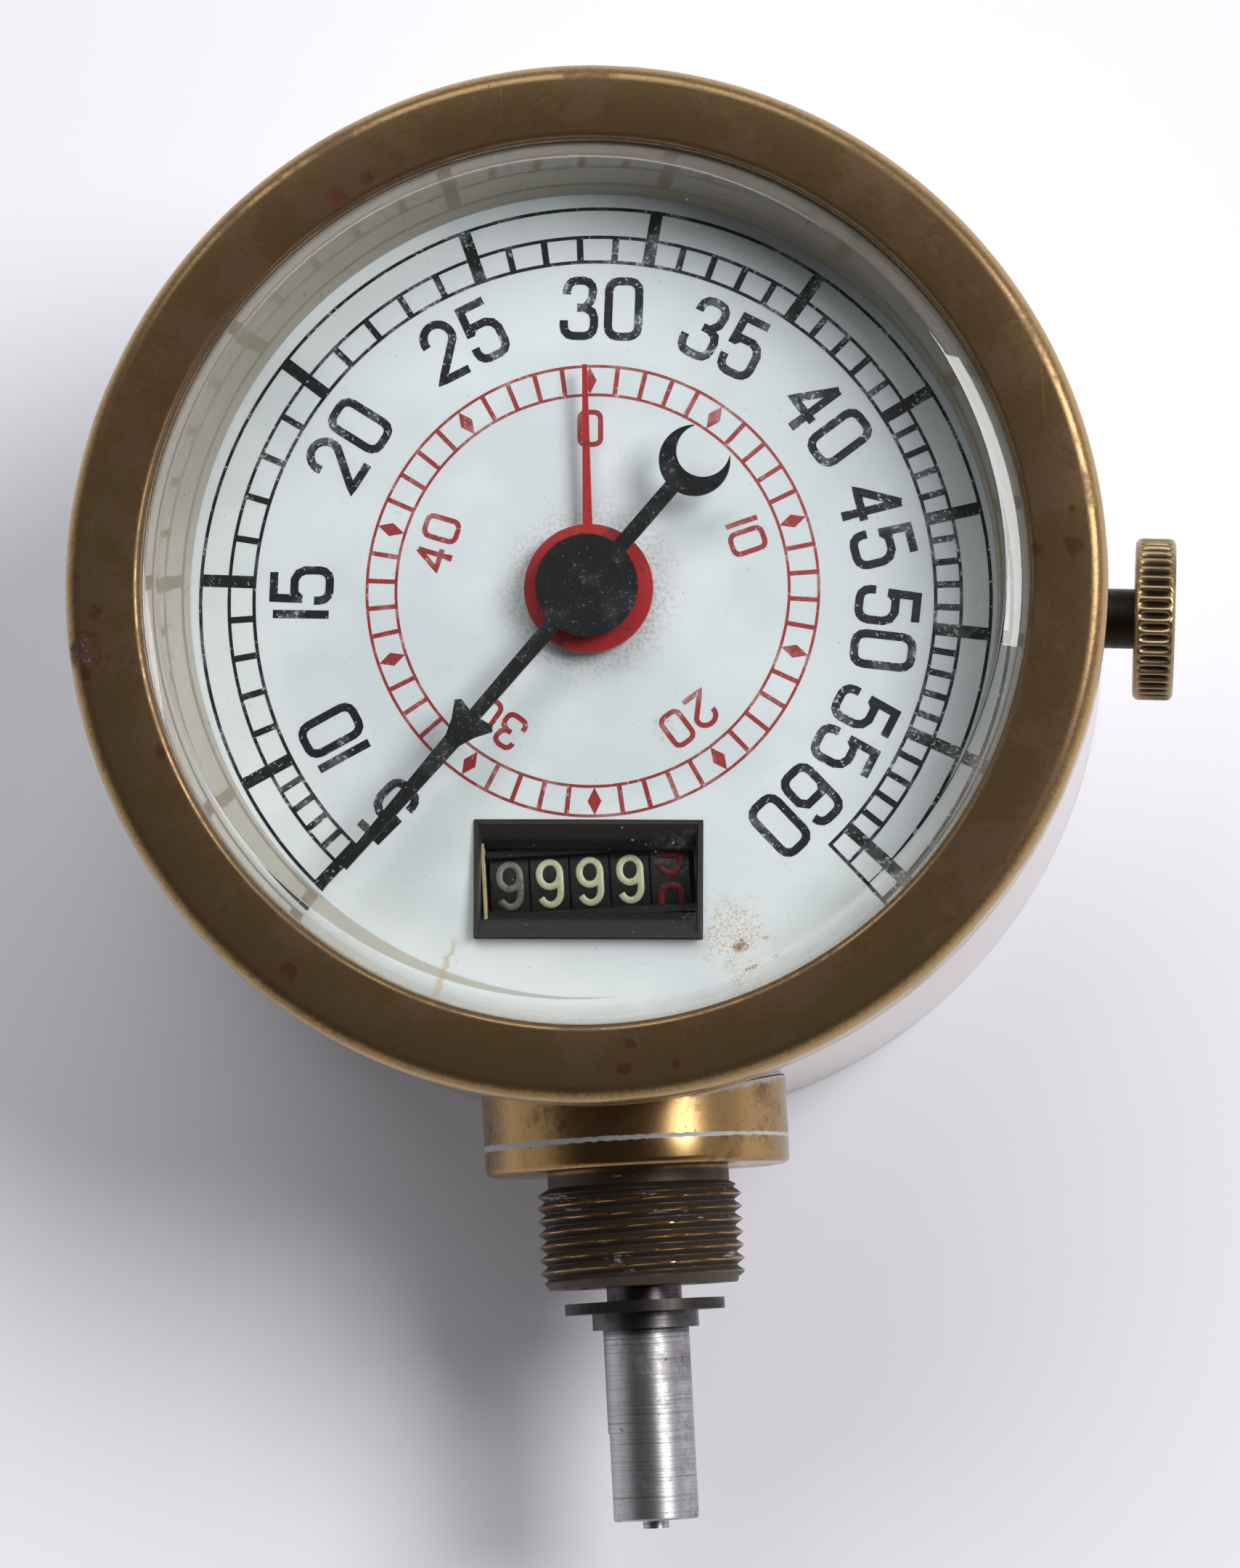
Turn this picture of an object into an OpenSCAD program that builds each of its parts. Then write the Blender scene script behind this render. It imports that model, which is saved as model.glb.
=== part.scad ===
// Dashboard speedometer of the brass era: a centrifugal governor turns the speed hand through a sector
// lever, and worms on the drive shaft turn a mileage counter and a trip hand that a side knob sets back.
// The dial faces +Z, the drive spigot points along -Y, and the origin is the centre of the back face.

/* [Case] */
// Outer radius of the case barrel
case_r = 53; // [51:0.5:58]
// How much wider the barrel is at its back face
case_flare = 1.1; // [0:0.1:2]
// Wall of the case barrel at its front edge
case_wall = 1.8; // [1.2:0.1:2.4]
// Height of the case barrel from the back face to its front edge
case_h = 57; // [56:0.5:66]
// Thickness of the back cover
back_t = 2.5; // [1.6:0.1:4]
// Radius of the circle of bracket holes in the back cover
bracket_hole_pcr = 30; // [22:0.5:38]
// Radius of one bracket hole
bracket_hole_r = 2.1; // [1.5:0.1:3]
// Depth of the screw lugs inside the barrel
lug_d = 7; // [6:0.5:9]
// Height of the screw lugs
lug_h = 5.5; // [4:0.5:8]
// Shank radius of the case screws
screw_r = 1.4; // [1:0.1:1.8]
// Head radius of the case screws
screw_head_r = 2.7; // [2.2:0.1:3]

/* [Bezel and glass] */
// How far the bezel stands out past the barrel
bezel_overhang = 1.5; // [1:0.1:2.5]
// How far the bezel skirt reaches down over the barrel
bezel_skirt = 3.8; // [2.5:0.1:6]
// How far the bezel lip reaches in from the outside of the barrel
lip_cover = 6.6; // [5.5:0.1:9]
// Radius of the rounded outer edge of the bezel
bezel_edge_r = 2.6; // [1:0.1:3]
// Thickness of the bezel lip over the rim of the glass
lip_t = 3; // [2:0.1:4]
// Thickness of the glass at its rim
glass_rim_t = 1.7; // [1.2:0.1:2.5]
// Height of the ground bevel above the rim of the glass
bevel_h = 1.4; // [0.8:0.1:2.4]
// Width of the bevel that shows inside the opening
bevel_show_w = 2.1; // [1.5:0.1:6]
// Width of the glass rim held under the lip
glass_grip = 4.1; // [3:0.1:4.5]
// How far the inner ring stands above the front edge of the barrel
ring_stand = 0.3; // [0.1:0.1:0.6]
// How far the foot of the inner ring shows inside the bezel opening
ring_foot_show = 3.6; // [2.6:0.1:4.2]
// How far the top of the inner ring shows inside the bezel opening
ring_top_show = 1.8; // [1:0.1:2.4]

/* [Dial] */
// Depth from the underside of the glass to the flat rim of the dial
dial_depth = 9.9; // [9:0.1:12]
// Rise of the domed dial at its centre
dial_rise = 3.1; // [2:0.1:3.4]
// Thickness of the enamelled dial
dial_t = 1.2; // [0.8:0.1:1.6]
// Angle of the dial, clockwise from the movement
dial_turn = 3.5; // [0:0.1:5]
// Width of the counter window
window_w = 24; // [23.8:0.1:26]
// Height of the counter window
window_h = 12.3; // [11.6:0.1:13]
// Distance from the dial centre to the window centre
window_drop = 30.4; // [30:0.1:32]
// Width of the window frame beside the drums
frame_rim = 0.8; // [0.5:0.1:1]
// Height of the frame's sloped sills above and below the digits
frame_sill = 2.8; // [1.6:0.1:2.8]
// Gap between the dial rim and the front plate, bridged by the dial feet
dial_foot_h = 0.8; // [0.5:0.1:1.5]

/* [Hands] */
// Gap between the tip of the speed hand and the bezel opening
hand_tip_gap = 7.4; // [4:0.1:9]
// Distance from the hand centre to the centre of the crescent
crescent_l = 17.3; // [15:0.1:20]
// Outer radius of the crescent
crescent_r = 3.75; // [3:0.05:4.5]
// Radius of the round cut in the crescent
crescent_cut_r = 2.85; // [2:0.05:2.9]
// Radius of the speed hand hub
hand_hub_r = 5.4; // [4:0.1:6]
// Thickness of both hands
hand_t = 0.7; // [0.5:0.05:1]
// Direction of the speed hand at rest, clockwise from twelve
hand_rest = 220.4; // [215:0.1:225]
// Sweep of the speed hand from rest to full scale
hand_sweep = 270.5; // [240:0.5:280]
// Direction of the trip hand at rest, anticlockwise from twelve
trip_rest = 1.6; // [0:0.1:4]
// Length of the trip hand
trip_hand_l = 23.8; // [20:0.1:26]
// Radius of the trip hand hub
trip_hub_r = 6.8; // [5:0.1:8]
// Gap between the dial centre and the trip hand
trip_hand_gap = 1.2; // [0.8:0.1:1.6]
// Gap between the two hands
hand_gap = 2; // [1:0.1:2.2]

/* [Drive spigot] */
// Radius of the drive boss and the spigot flange
boss_r = 16.6; // [15:0.1:18]
// How far the joint of boss and flange stands off the barrel
boss_stand = 4.4; // [3.6:0.1:8]
// Thickness of the spigot flange
flange_t = 3; // [2:0.1:4]
// Rounding of the flange edges
flange_edge = 0.8; // [0.3:0.1:1.2]
// Radius of the neck behind the thread
neck_r = 9.9; // [9:0.1:10.5]
// Length of the neck behind the thread
neck_l = 1.6; // [1:0.1:3]
// Outer radius of the spigot thread
thread_r = 11.2; // [10.6:0.1:12.5]
// Length of the spigot thread
thread_l = 11; // [8:0.5:16]
// Radius of the plug that centres the spigot in the boss
plug_r = 10; // [9:0.1:11]
// Outer radius of the spigot bush
spigot_bush_r = 6.2; // [5.5:0.1:7.5]

/* [Drive shaft] */
// Radius of the bare shaft end
shaft_end_r = 4.7; // [4:0.1:5.2]
// Length of the bare shaft end
shaft_end_l = 20.7; // [16:0.1:26]
// Depth of the flat on the bare shaft end
shaft_flat = 0.25; // [0.1:0.05:0.5]
// Radius of the shaft journal inside the spigot
journal_r = 4.1; // [3.4:0.1:4.6]
// Radius of the shaft inside the case
shaft_r = 2.2; // [1.8:0.1:2.3]
// Radius of the shaft collar
shaft_collar_r = 5.8; // [5.4:0.1:7]
// Thickness of the shaft collar
shaft_collar_t = 1.8; // [1:0.1:3]
// Radius of the loose washer
washer_r = 8.7; // [7:0.1:10]
// Thickness of the loose washer
washer_t = 1.2; // [0.8:0.1:2]
// Gap between the spigot end and the loose washer
washer_gap = 1.6; // [0.5:0.1:3]
// Distance from the front plate down to the shaft axis
shaft_drop = 18.9; // [18.8:0.1:21]

/* [Governor] */
// Radius of the flyweight pivots
fly_pivot_r = 8; // [7.5:0.1:9]
// Length of a flyweight arm from pivot to weight
fly_arm = 9.2; // [8.6:0.1:9.4]
// Radius of a flyweight
fly_weight_r = 3.5; // [2.5:0.1:3.6]
// Length of a flyweight toe from its pivot
toe_l = 5; // [4.6:0.1:5.2]
// Thickness of a flyweight toe
toe_t = 1.6; // [1:0.1:2]
// Swing of the flyweights from rest to full speed
fly_swing = 35; // [28:0.5:38]
// Distance from the collar groove to the toe flange
collar_l = 14.6; // [14.2:0.1:18]
// Radius of the flanges beside the collar groove
groove_flange_r = 5.3; // [4.5:0.1:5.6]
// Radius of the collar sleeve
sleeve_r = 3.4; // [3:0.1:3.8]
// Radius of the pin that follows the collar groove
follower_r = 0.7; // [0.5:0.05:0.9]
// Turns of the governor spring
spring_turns = 5; // [4:1:6]
// Mean radius of the governor spring
spring_r = 3.2; // [3:0.1:3.3]
// Wire radius of the governor spring
spring_wire_r = 0.4; // [0.3:0.05:0.45]

/* [Hand train] */
// Module of the sector and hand pinion
hand_module = 0.4; // [0.38:0.01:0.42]
// Teeth on the full circle of the sector
sector_teeth = 68; // [66:1:70]
// Teeth on the hand pinion
pinion_teeth = 10; // [9:1:11]
// Radius of the hand arbor
arbor_r = 1.2; // [0.9:0.05:1.3]
// Wall of the trip tube around the arbor
tube_wall = 0.9; // [0.7:0.05:1.2]
// Thickness of the sector lever
lever_t = 1.5; // [1:0.1:2]

/* [Counter and trip train] */
// Radius of a counter drum
drum_r = 9.4; // [8.8:0.1:9.5]
// Spacing of the counter drums
drum_pitch = 4.25; // [3.8:0.05:4.3]
// Gap between neighbouring drums
drum_gap = 0.2; // [0.15:0.05:0.4]
// Depth of the drums below the dial at the window
drum_depth = 2.6; // [2.2:0.1:3]
// Radius of the counter axle
axle_r = 1.2; // [0.9:0.05:1.4]
// Pitch radius of the worm on the drive shaft
drive_worm_r = 3; // [2.9:0.05:3.3]
// Pitch radius of the worm on the jack spindle
jack_worm_r = 2.5; // [2.3:0.05:2.7]
// Pitch radius of the worm on the trip shaft
trip_worm_r = 2; // [1.9:0.05:2.2]
// Teeth on the jack wheel
jack_teeth = 40; // [36:1:44]
// Teeth on the counter wheel and the trip shaft wheel
counter_teeth = 26; // [24:1:28]
// Pitch radius of the counter wheel and the trip shaft wheel
counter_wheel_r = 6.5; // [6.2:0.1:6.6]
// Teeth on the trip wheel
trip_teeth = 50; // [46:1:52]
// Thickness of the worm wheels
wheel_t = 1.4; // [1:0.1:1.6]
// Radius of the jack spindle
jack_r = 1.5; // [1.2:0.1:1.6]
// Thickness of the hanging brackets
bracket_t = 1.2; // [1:0.1:1.6]

/* [Reset] */
// Angle of the stem and knob, clockwise from the movement
knob_turn = 4.9; // [0:0.1:6]
// Radius of the knob
knob_r = 8.65; // [7:0.05:10]
// Thickness of the knob
knob_t = 4.3; // [3:0.1:6]
// How far the inner face of the knob stands off the barrel
knob_stand = 4.4; // [4:0.1:8]
// Radius of the stem at the knob
stem_r = 3.2; // [2.6:0.1:3.6]
// Radius of the inner stem
stem_inner_r = 1.6; // [1.3:0.1:1.8]
// How far the knob pushes in
push = 2.5; // [1.5:0.1:2.6]
// Radius of the friction wheel on the stem
friction_r = 2.5; // [2.2:0.1:2.6]
// Radius of the reset disc
reset_disc_r = 13.5; // [13:0.1:13.6]
// Turns of the reset spring
reset_turns = 6; // [4:1:7]
// Wire radius of the reset spring
reset_wire_r = 0.35; // [0.25:0.05:0.4]

/* [Hidden] */
$fn = 96;

// Overshoot of every through cut
cut = 1;
// Radial clearance of running fits
run_gap = 0.05;
// Radial clearance of fixed fits
seat_gap = 0.02;
// Clearance between parts that pass each other
pass_gap = 0.3;
// Clearance between the ends of parts that bear on each other
end_gap = 0.1;
// Depth by which fused features sink into the part that carries them
sink = 0.2;

// Levels of the front stack
case_in_r = case_r - case_wall;
bezel_r = case_r + bezel_overhang;
opening_r = case_r - lip_cover;
glass_z = case_h + ring_stand;
lip_z = glass_z + glass_rim_t;
bezel_top = lip_z + lip_t;
dial_rim_z = glass_z - dial_depth;
plate_top = dial_rim_z - dial_t - dial_foot_h;
plate_t = 2;
plate_z = plate_top - plate_t;
shaft_z = plate_z - shaft_drop;
glass_r = opening_r + glass_grip;
lip_chamfer = 0.8;
dial_dome_r = (opening_r * opening_r + dial_rise * dial_rise) / (2 * dial_rise);
function dome(r) = sqrt(dial_dome_r * dial_dome_r - r * r) - dial_dome_r + dial_rise;
function dial_top(r) = dial_rim_z + dome(r);

// Levels of the hands
trip_hand_z = dial_rim_z + dial_rise + trip_hand_gap;
speed_hand_z = trip_hand_z + hand_t + hand_gap;
tube_r = arbor_r + run_gap + tube_wall;
hand_l = opening_r - hand_tip_gap;

// Hand train: the lever swings about a stud beside the shaft and its teeth roll on the hand pinion
sector_r = hand_module * sector_teeth / 2;
pinion_r = hand_module * pinion_teeth / 2;
lever_swing = hand_sweep * pinion_teeth / sector_teeth;
collar_travel = toe_l * sin(fly_swing);
lever_arm = collar_travel / (2 * sin(lever_swing / 2));
stud_x = lever_arm * (1 + cos(lever_swing / 2)) / 2;
stud_y = sqrt(pow(sector_r + pinion_r, 2) - stud_x * stud_x);
mesh_angle = atan2(-stud_y, -stud_x);
lever_lift = 2.2;
lever_z = shaft_z + groove_flange_r + lever_lift;
stud_head_t = 1;
lever_hub_r = 2.4;
lever_hub_h = 2.4;
groove_y = stud_y + collar_travel / 2;

// Governor stations along the shaft
groove_w = 2 * (follower_r + pass_gap);
flange_w = 1.2;
toe_gap = 0.15;
toe_flange_y = groove_y + collar_l;
fly_y = toe_flange_y + toe_gap + toe_t / 2;
fly_t = 3;
fly_boss_r = 1.8;
fly_pin_r = 0.8;
ear_gap = 0.25;
ear_t = 1.5;
hub_gap = 0.6;
hub_y = fly_y + fly_boss_r + hub_gap;
hub_t = 2;
hub_margin = 0.4;
hub_r = fly_pivot_r + fly_boss_r + hub_margin;
hub_sleeve_r = 4.4;
hub_sleeve_l = 2.2;
upper_y = hub_y + hub_t + hub_sleeve_l + pass_gap;
upper_t = 3;
shaft_tail = 0.8;
collar_foot_y = groove_y - groove_w / 2 - flange_w;
spring_l = 8.6;
spring_seat_t = 1.1;
spring_y = collar_foot_y - end_gap - spring_l;

// Counter and trip train
window_x = -window_drop * sin(dial_turn);
window_y = -window_drop * cos(dial_turn);
drum_z = dial_top(window_drop) - drum_depth - drum_r;
drums_w = 5 * drum_pitch;
drum_end = window_x + drums_w / 2;
bracket_gap = 0.4;
wheel_gap = 2.8;
jack_x = drum_end + bracket_gap + bracket_t + wheel_gap + wheel_t / 2;
jack_y = window_y + counter_wheel_r + jack_worm_r;
trip_y = jack_y + counter_wheel_r + jack_worm_r;
jack_wheel_r = jack_x - drive_worm_r;
trip_wheel_r = -trip_y - trip_worm_r;
outer_bracket_gap = 1.6;
outer_bracket_x = jack_x + wheel_t / 2 + outer_bracket_gap;
drum_sleeve_wall = 0.9;
drum_sleeve_r = axle_r + run_gap + drum_sleeve_wall;
trip_shaft_r = 1.2;
inner_bracket_x = drum_end + bracket_gap;
counter_brackets_x = [window_x - drums_w / 2 - bracket_gap - bracket_t, inner_bracket_x, outer_bracket_x];
hang_w = 7;
hang_below = 3;
trip_hang_w = 4.2;
trip_left_gap = 0.55;
trip_left_chord = chord(reset_disc_r + pass_gap, -trip_y - trip_hang_w / 2);
worm_turns = 3.5;
trip_worm_half = worm_turns * PI * trip_wheel_r / trip_teeth;
trip_left_x = -max(trip_left_chord, trip_worm_half) - trip_left_gap - bracket_t;
trip_brackets_x = [trip_left_x, outer_bracket_x];
jack_post_r = 2.2;
jack_post_gap = 1.2;
jack_post_x = jack_x + jack_wheel_r + jack_post_r + jack_post_gap;
jack_arm_t = 2;
jack_arm_drop = 2.6;
jack_arm_z = shaft_z - wheel_t / 2 - jack_arm_drop - jack_arm_t;
jack_pad = 1.8;

// Worm and wheel tooth proportions as shares of the pitch
worm_throw = 0.25;
tooth_tip = 0.17;
tooth_root = 0.32;
half_at_tip = 0.07;
half_at_root = 0.24;
worm_slices = 14;
worm_sides = 16;

// Trip clutch stack on the trip tube
tube_foot_t = 0.8;
tube_foot_w = 1.2;
tube_foot_r = tube_r + tube_foot_w;
trip_hub_h = 1.1;
trip_gear_z = drum_z - wheel_t / 2;
tube_foot_gap = 0.8;
tube_foot_z = trip_gear_z - tube_foot_gap - tube_foot_t;
clutch_z = trip_gear_z + wheel_t + trip_hub_h + end_gap;
reset_disc_t = 1;
reset_disc_gap = 1.2;
reset_disc_z = plate_z - reset_disc_gap - reset_disc_t;
clutch_r = 5.5;
clutch_t = 0.4;
clutch_foot_w = 1.2;
clutch_rim_w = 1;
trip_hub_gear_r = 4;
hand_bush_r = 4;

// Reset stem stations, measured out from the case axis
friction_gap = 0.15;
reset_z = reset_disc_z - friction_gap - friction_r;
friction_t = 2;
friction_clear = 0.8;
friction_x = max(reset_disc_r + friction_clear, jack_x + wheel_t / 2 + pass_gap);
stem_tip = 0.2;
bush_depth = 5.2;
bush_stand = 1.2;
bush_wall = 1.4;
bush_in = case_in_r - bush_depth;
bush_out = case_r + bush_stand;
reset_bush_r = stem_r + bush_wall;
stem_collar_w = 1.2;
stem_collar_r = stem_r + stem_collar_w;
stem_collar_l = 2.9;
stem_shoulder = bush_in - pass_gap - stem_collar_l;
reset_washer_t = 1;
reset_washer_x = stem_shoulder - 2 * end_gap - reset_washer_t;
reset_room = 12.8;
reset_bracket_x = stem_shoulder - reset_room;
reset_bracket_t = 2;
knob_cap_t = 1.2;
knob_socket = knob_t - knob_cap_t;
knob_edge = 0.8;
stem_tenon_r = 2;
knob_reach = case_r + knob_stand;

// Arbor bridge under the hand arbor
bridge_t = 1.6;
bridge_lift = 4.5;
bridge_z = shaft_z + bridge_lift;
bridge_w = 6;
pillar_r = 2;
pillar_gap = 1;
pillar_circle = reset_disc_r + pillar_r + pillar_gap;
pillar_angles = [23, 180];
bridge_pad_r = 3.2;

// Angles of repeated fasteners and feet
back_lug_angles = [30, 150, 270];
front_lug_angles = [60, 180, 300];
bracket_hole_angles = [90, 210, 330];
dial_foot_angles = [0, 120, 240];
lug_w = 9;
screw_bite = 4;
screw_slot_w = 0.7;
screw_slot_d = 0.6;
dial_foot_r = 1.5;

// Colours
brass = "#8a6b34";
polished = "#b3924f";
bronze = "#9c7a45";
steel = "#8d8f92";
dark_steel = "#4a4a4c";
enamel = "#e9eef2";
black = "#1b1b1d";
red = "#b3262a";
clear = [0.8, 0.86, 0.88, 0.35];

// Points of a circular arc
function arc(cx, cy, r, a0, a1, n = 8) =
    [for (i = [0:n]) let (a = a0 + (a1 - a0) * i / n) [cx + r * cos(a), cy + r * sin(a)]];

// Frames of the drive shaft, the reset stem, the counter axle and the dial
module shaft_frame(y = 0) translate([0, y, shaft_z]) rotate([-90, 0, 0]) children();
module reset_frame(x = 0) rotate(-knob_turn) translate([x, 0, reset_z]) rotate([0, 90, 0]) children();
module cross_frame(x, y, z) translate([x, y, z]) rotate([0, 90, 0]) children();
module dial_frame(z = 0) translate([0, 0, z]) rotate(-dial_turn) children();
module around(angles, r) {
    for (a = angles) rotate(a) translate([r, 0, 0]) children();
}

module tube(r_out, r_in, h) {
    difference() {
        cylinder(r = r_out, h = h);
        translate([0, 0, -cut]) cylinder(r = r_in, h = h + 2 * cut);
    }
}

module hole(r, h) translate([0, 0, -cut]) cylinder(r = r, h = h + 2 * cut);

// A slotted countersunk screw: the head face lies at zero and the shank points along +Z
module flush_screw(depth) {
    head_h = screw_head_r - screw_r;
    difference() {
        union() {
            cylinder(r1 = screw_head_r, r2 = screw_r, h = head_h);
            cylinder(r = screw_r, h = depth);
        }
        translate([-screw_head_r - cut, -screw_slot_w / 2, -cut])
            cube([2 * (screw_head_r + cut), screw_slot_w, cut + screw_slot_d]);
    }
}

module flush_screw_hole(depth) {
    head_h = screw_head_r - screw_r;
    translate([0, 0, -seat_gap])
        cylinder(r1 = screw_head_r + 2 * seat_gap, r2 = screw_r + seat_gap, h = head_h);
    translate([0, 0, -cut]) cylinder(r = screw_r + seat_gap, h = depth + cut);
}

// Gears: an involute outline with a little backlash, and a worm wheel with straight teeth
tooth_backlash = 0.1;
pressure_angle = 20;
flank_steps = 4;
function involute(r, base) = let (k = sqrt(max(0, r * r / (base * base) - 1))) k * 180 / PI - atan(k);
function half_tooth(r, pitch_r, teeth) =
    let (base = pitch_r * cos(pressure_angle))
    90 / teeth - tooth_backlash / 2 / pitch_r * 180 / PI
    + involute(pitch_r, base) - involute(max(r, base), base);
function involute_tooth(angle, pitch_r, teeth, root, tip) =
    let (radii = [for (i = [0:flank_steps]) root + (tip - root) * i / flank_steps])
    concat(
        [for (r = radii) let (a = angle - half_tooth(r, pitch_r, teeth)) r * [cos(a), sin(a)]],
        [for (i = [flank_steps:-1:0])
            let (r = radii[i], a = angle + half_tooth(r, pitch_r, teeth)) r * [cos(a), sin(a)]]
    );

function wheel_tooth(angle, pitch_r, teeth) =
    let (pitch = 2 * PI * pitch_r / teeth, root = pitch_r - tooth_root * pitch)
    let (tip = pitch_r + tooth_tip * pitch, wide = half_at_root * pitch / root * 180 / PI)
    let (thin = half_at_tip * pitch / tip * 180 / PI)
    [for (p = [[root, -wide], [tip, -thin], [tip, thin], [root, wide]])
        p[0] * [cos(angle + p[1]), sin(angle + p[1])]];

// A worm wheel about +Z with a tooth, or a gap, pointing at the given angle
module worm_wheel(pitch_r, teeth, toward, gap_first = false) {
    start = toward + (gap_first ? 180 / teeth : 0);
    linear_extrude(wheel_t)
        polygon([for (i = [0:teeth - 1]) each wheel_tooth(start + i * 360 / teeth, pitch_r, teeth)]);
}

// A right-handed worm about +Z, centred on zero, with a valley facing the given direction at its middle
module worm(pitch_r, wheel_r, teeth, bore_r, valley) {
    pitch = 2 * PI * wheel_r / teeth;
    length = worm_turns * pitch;
    slices = round(worm_turns * worm_slices);
    difference() {
        translate([0, 0, -length / 2])
            rotate(valley + 180 - worm_turns * 180)
                linear_extrude(length, twist = -360 * worm_turns, slices = slices, $fn = worm_sides)
                    translate([worm_throw * pitch, 0]) circle(r = pitch_r, $fn = worm_sides);
        translate([0, 0, -length / 2]) hole(bore_r, length);
    }
}

// Coil springs: one tube of six sides along a helix, with its least gap to itself on the ring centres
coil_rings = 8;
coil_sides = 6;
function coil_point(i, r, pitch) =
    [r * cos(i * 360 / coil_rings), r * sin(i * 360 / coil_rings), pitch * i / coil_rings];
function coil_path(r, length, turns, wire_r) =
    [for (i = [0:turns * coil_rings])
        coil_point(i, r, (length - 2 * wire_r) / turns) + [0, 0, wire_r]];
function coil_gap(path, wire_r) =
    min([for (i = [0:len(path) - 1], j = [i + coil_rings / 2:1:len(path) - 1])
        norm(path[i] - path[j]) - 2 * wire_r]);

module coil(path, wire_r) {
    rings = len(path);
    points = [for (i = [0:rings - 1], k = [0:coil_sides - 1])
        let (out = [cos(i * 360 / coil_rings), sin(i * 360 / coil_rings), 0], a = k * 360 / coil_sides)
        path[i] + wire_r * (cos(a) * out + sin(a) * [0, 0, 1])];
    function at(i, k) = i * coil_sides + k % coil_sides;
    polyhedron(points, concat(
        [for (i = [0:rings - 2], k = [0:coil_sides - 1]) each
            [[at(i, k), at(i, k + 1), at(i + 1, k + 1)], [at(i, k), at(i + 1, k + 1), at(i + 1, k)]]],
        [for (k = [1:coil_sides - 2]) each
            [[at(0, 0), at(0, k + 1), at(0, k)],
             [at(rings - 1, 0), at(rings - 1, k), at(rings - 1, k + 1)]]]
    ));
}

governor_spring_path = coil_path(spring_r, spring_l, spring_turns, spring_wire_r);
echo(governor_spring_gap = coil_gap(governor_spring_path, spring_wire_r));

// Case

module screw_lug(angle, z) {
    intersection() {
        rotate(angle) translate([case_in_r - lug_d, -lug_w / 2, z])
            cube([lug_d + case_wall, lug_w, lug_h]);
        cylinder(r = case_in_r + sink, h = case_h);
    }
}

lug_screw_r = case_in_r - lug_d / 2;

// The outside of the barrel: plain under the bezel skirt and flared towards the back face
module barrel(gap = 0) {
    cylinder(r = case_r + gap, h = case_h);
    cylinder(r1 = case_r + case_flare + gap, r2 = case_r + gap, h = case_h - bezel_skirt);
}

module case_shell() color(brass) difference() {
    union() {
        difference() {
            barrel();
            hole(case_in_r, case_h);
        }
        for (a = back_lug_angles) screw_lug(a, back_t);
        for (a = front_lug_angles) screw_lug(a, plate_z - lug_h);
    }
    shaft_frame(-case_r - case_flare) hole(plug_r + seat_gap, case_r + case_flare - boss_r);
    reset_frame(bush_in) hole(reset_bush_r + seat_gap, bush_out - bush_in);
    around(back_lug_angles, lug_screw_r) hole(screw_r + seat_gap, back_t + screw_bite);
    around(front_lug_angles, lug_screw_r)
        translate([0, 0, plate_z - screw_bite]) cylinder(r = screw_r + seat_gap, h = screw_bite + cut);
}

module back_cover() color(brass) difference() {
    cylinder(r = case_in_r - run_gap, h = back_t);
    around(back_lug_angles, lug_screw_r) flush_screw_hole(back_t + cut);
    around(bracket_hole_angles, bracket_hole_pcr) hole(bracket_hole_r, back_t);
}

module back_screws() color(steel) around(back_lug_angles, lug_screw_r)
    flush_screw(back_t + screw_bite - pass_gap);

module bezel() color(brass) {
    bore = case_r + run_gap;
    seat = case_in_r + run_gap;
    foot = case_h - bezel_skirt;
    lip_round = 0.5;
    rotate_extrude() polygon(concat(
        [[bore, case_h], [bore, foot], [bezel_r, foot]],
        arc(bezel_r - bezel_edge_r, bezel_top - bezel_edge_r, bezel_edge_r, 0, 90),
        arc(opening_r + lip_round, bezel_top - lip_round, lip_round, 90, 180, 4),
        [[opening_r, lip_z + lip_chamfer], [opening_r + lip_chamfer, lip_z]],
        [[seat, lip_z], [seat, case_h]]
    ));
}

module glass() color(clear) rotate_extrude() polygon([
    [0, glass_z], [glass_r, glass_z], [glass_r, lip_z], [opening_r + lip_chamfer, lip_z],
    [opening_r - bevel_show_w, lip_z + bevel_h], [0, lip_z + bevel_h]
]);

// A ring that rests on the dial's rim and widens towards the glass
module inner_ring() color(steel) {
    ring_r = case_in_r - run_gap;
    foot_r = opening_r - ring_foot_show;
    rotate_extrude() polygon([
        [foot_r, dial_top(foot_r) + seat_gap], [opening_r + sink, dial_rim_z], [ring_r, dial_rim_z],
        [ring_r, glass_z], [opening_r - ring_top_show, glass_z]
    ]);
}

// Dial

dial_r = case_in_r - run_gap;
dial_foot_circle = (dial_r + opening_r) / 2;
window_clear = 0.1;

module at_window(z) dial_frame(z) translate([0, -window_drop, 0]) children();

module dial() color(enamel) difference() {
    dome_steps = 20;
    radii = [for (i = [0:dome_steps]) opening_r * i / dome_steps];
    union() {
        rotate_extrude() polygon(concat(
            [for (r = radii) [r, dial_top(r)]],
            [[dial_r, dial_rim_z], [dial_r, dial_rim_z - dial_t]],
            [for (i = [dome_steps:-1:0]) [radii[i], dial_top(radii[i]) - dial_t]]
        ));
        dial_frame() around(dial_foot_angles, dial_foot_circle)
            translate([0, 0, plate_top]) cylinder(r = dial_foot_r, h = dial_foot_h + sink);
    }
    translate([0, 0, plate_top]) cylinder(r = hand_bush_r + pass_gap, h = bezel_top - plate_top);
    at_window(plate_top + dial_foot_h)
        translate([-window_w / 2 - window_clear, -window_h / 2 - window_clear, -cut])
            cube([window_w + 2 * window_clear, window_h + 2 * window_clear, bezel_top - plate_top]);
}

// Side view of an opening whose walls lean outwards from the height mid upwards
function mouth_side(w, low, mid, lean, rise) = [
    [-w / 2, low], [w / 2, low], [w / 2, mid],
    [w / 2 + lean, mid + rise], [-w / 2 - lean, mid + rise], [-w / 2, mid]
];

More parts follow.
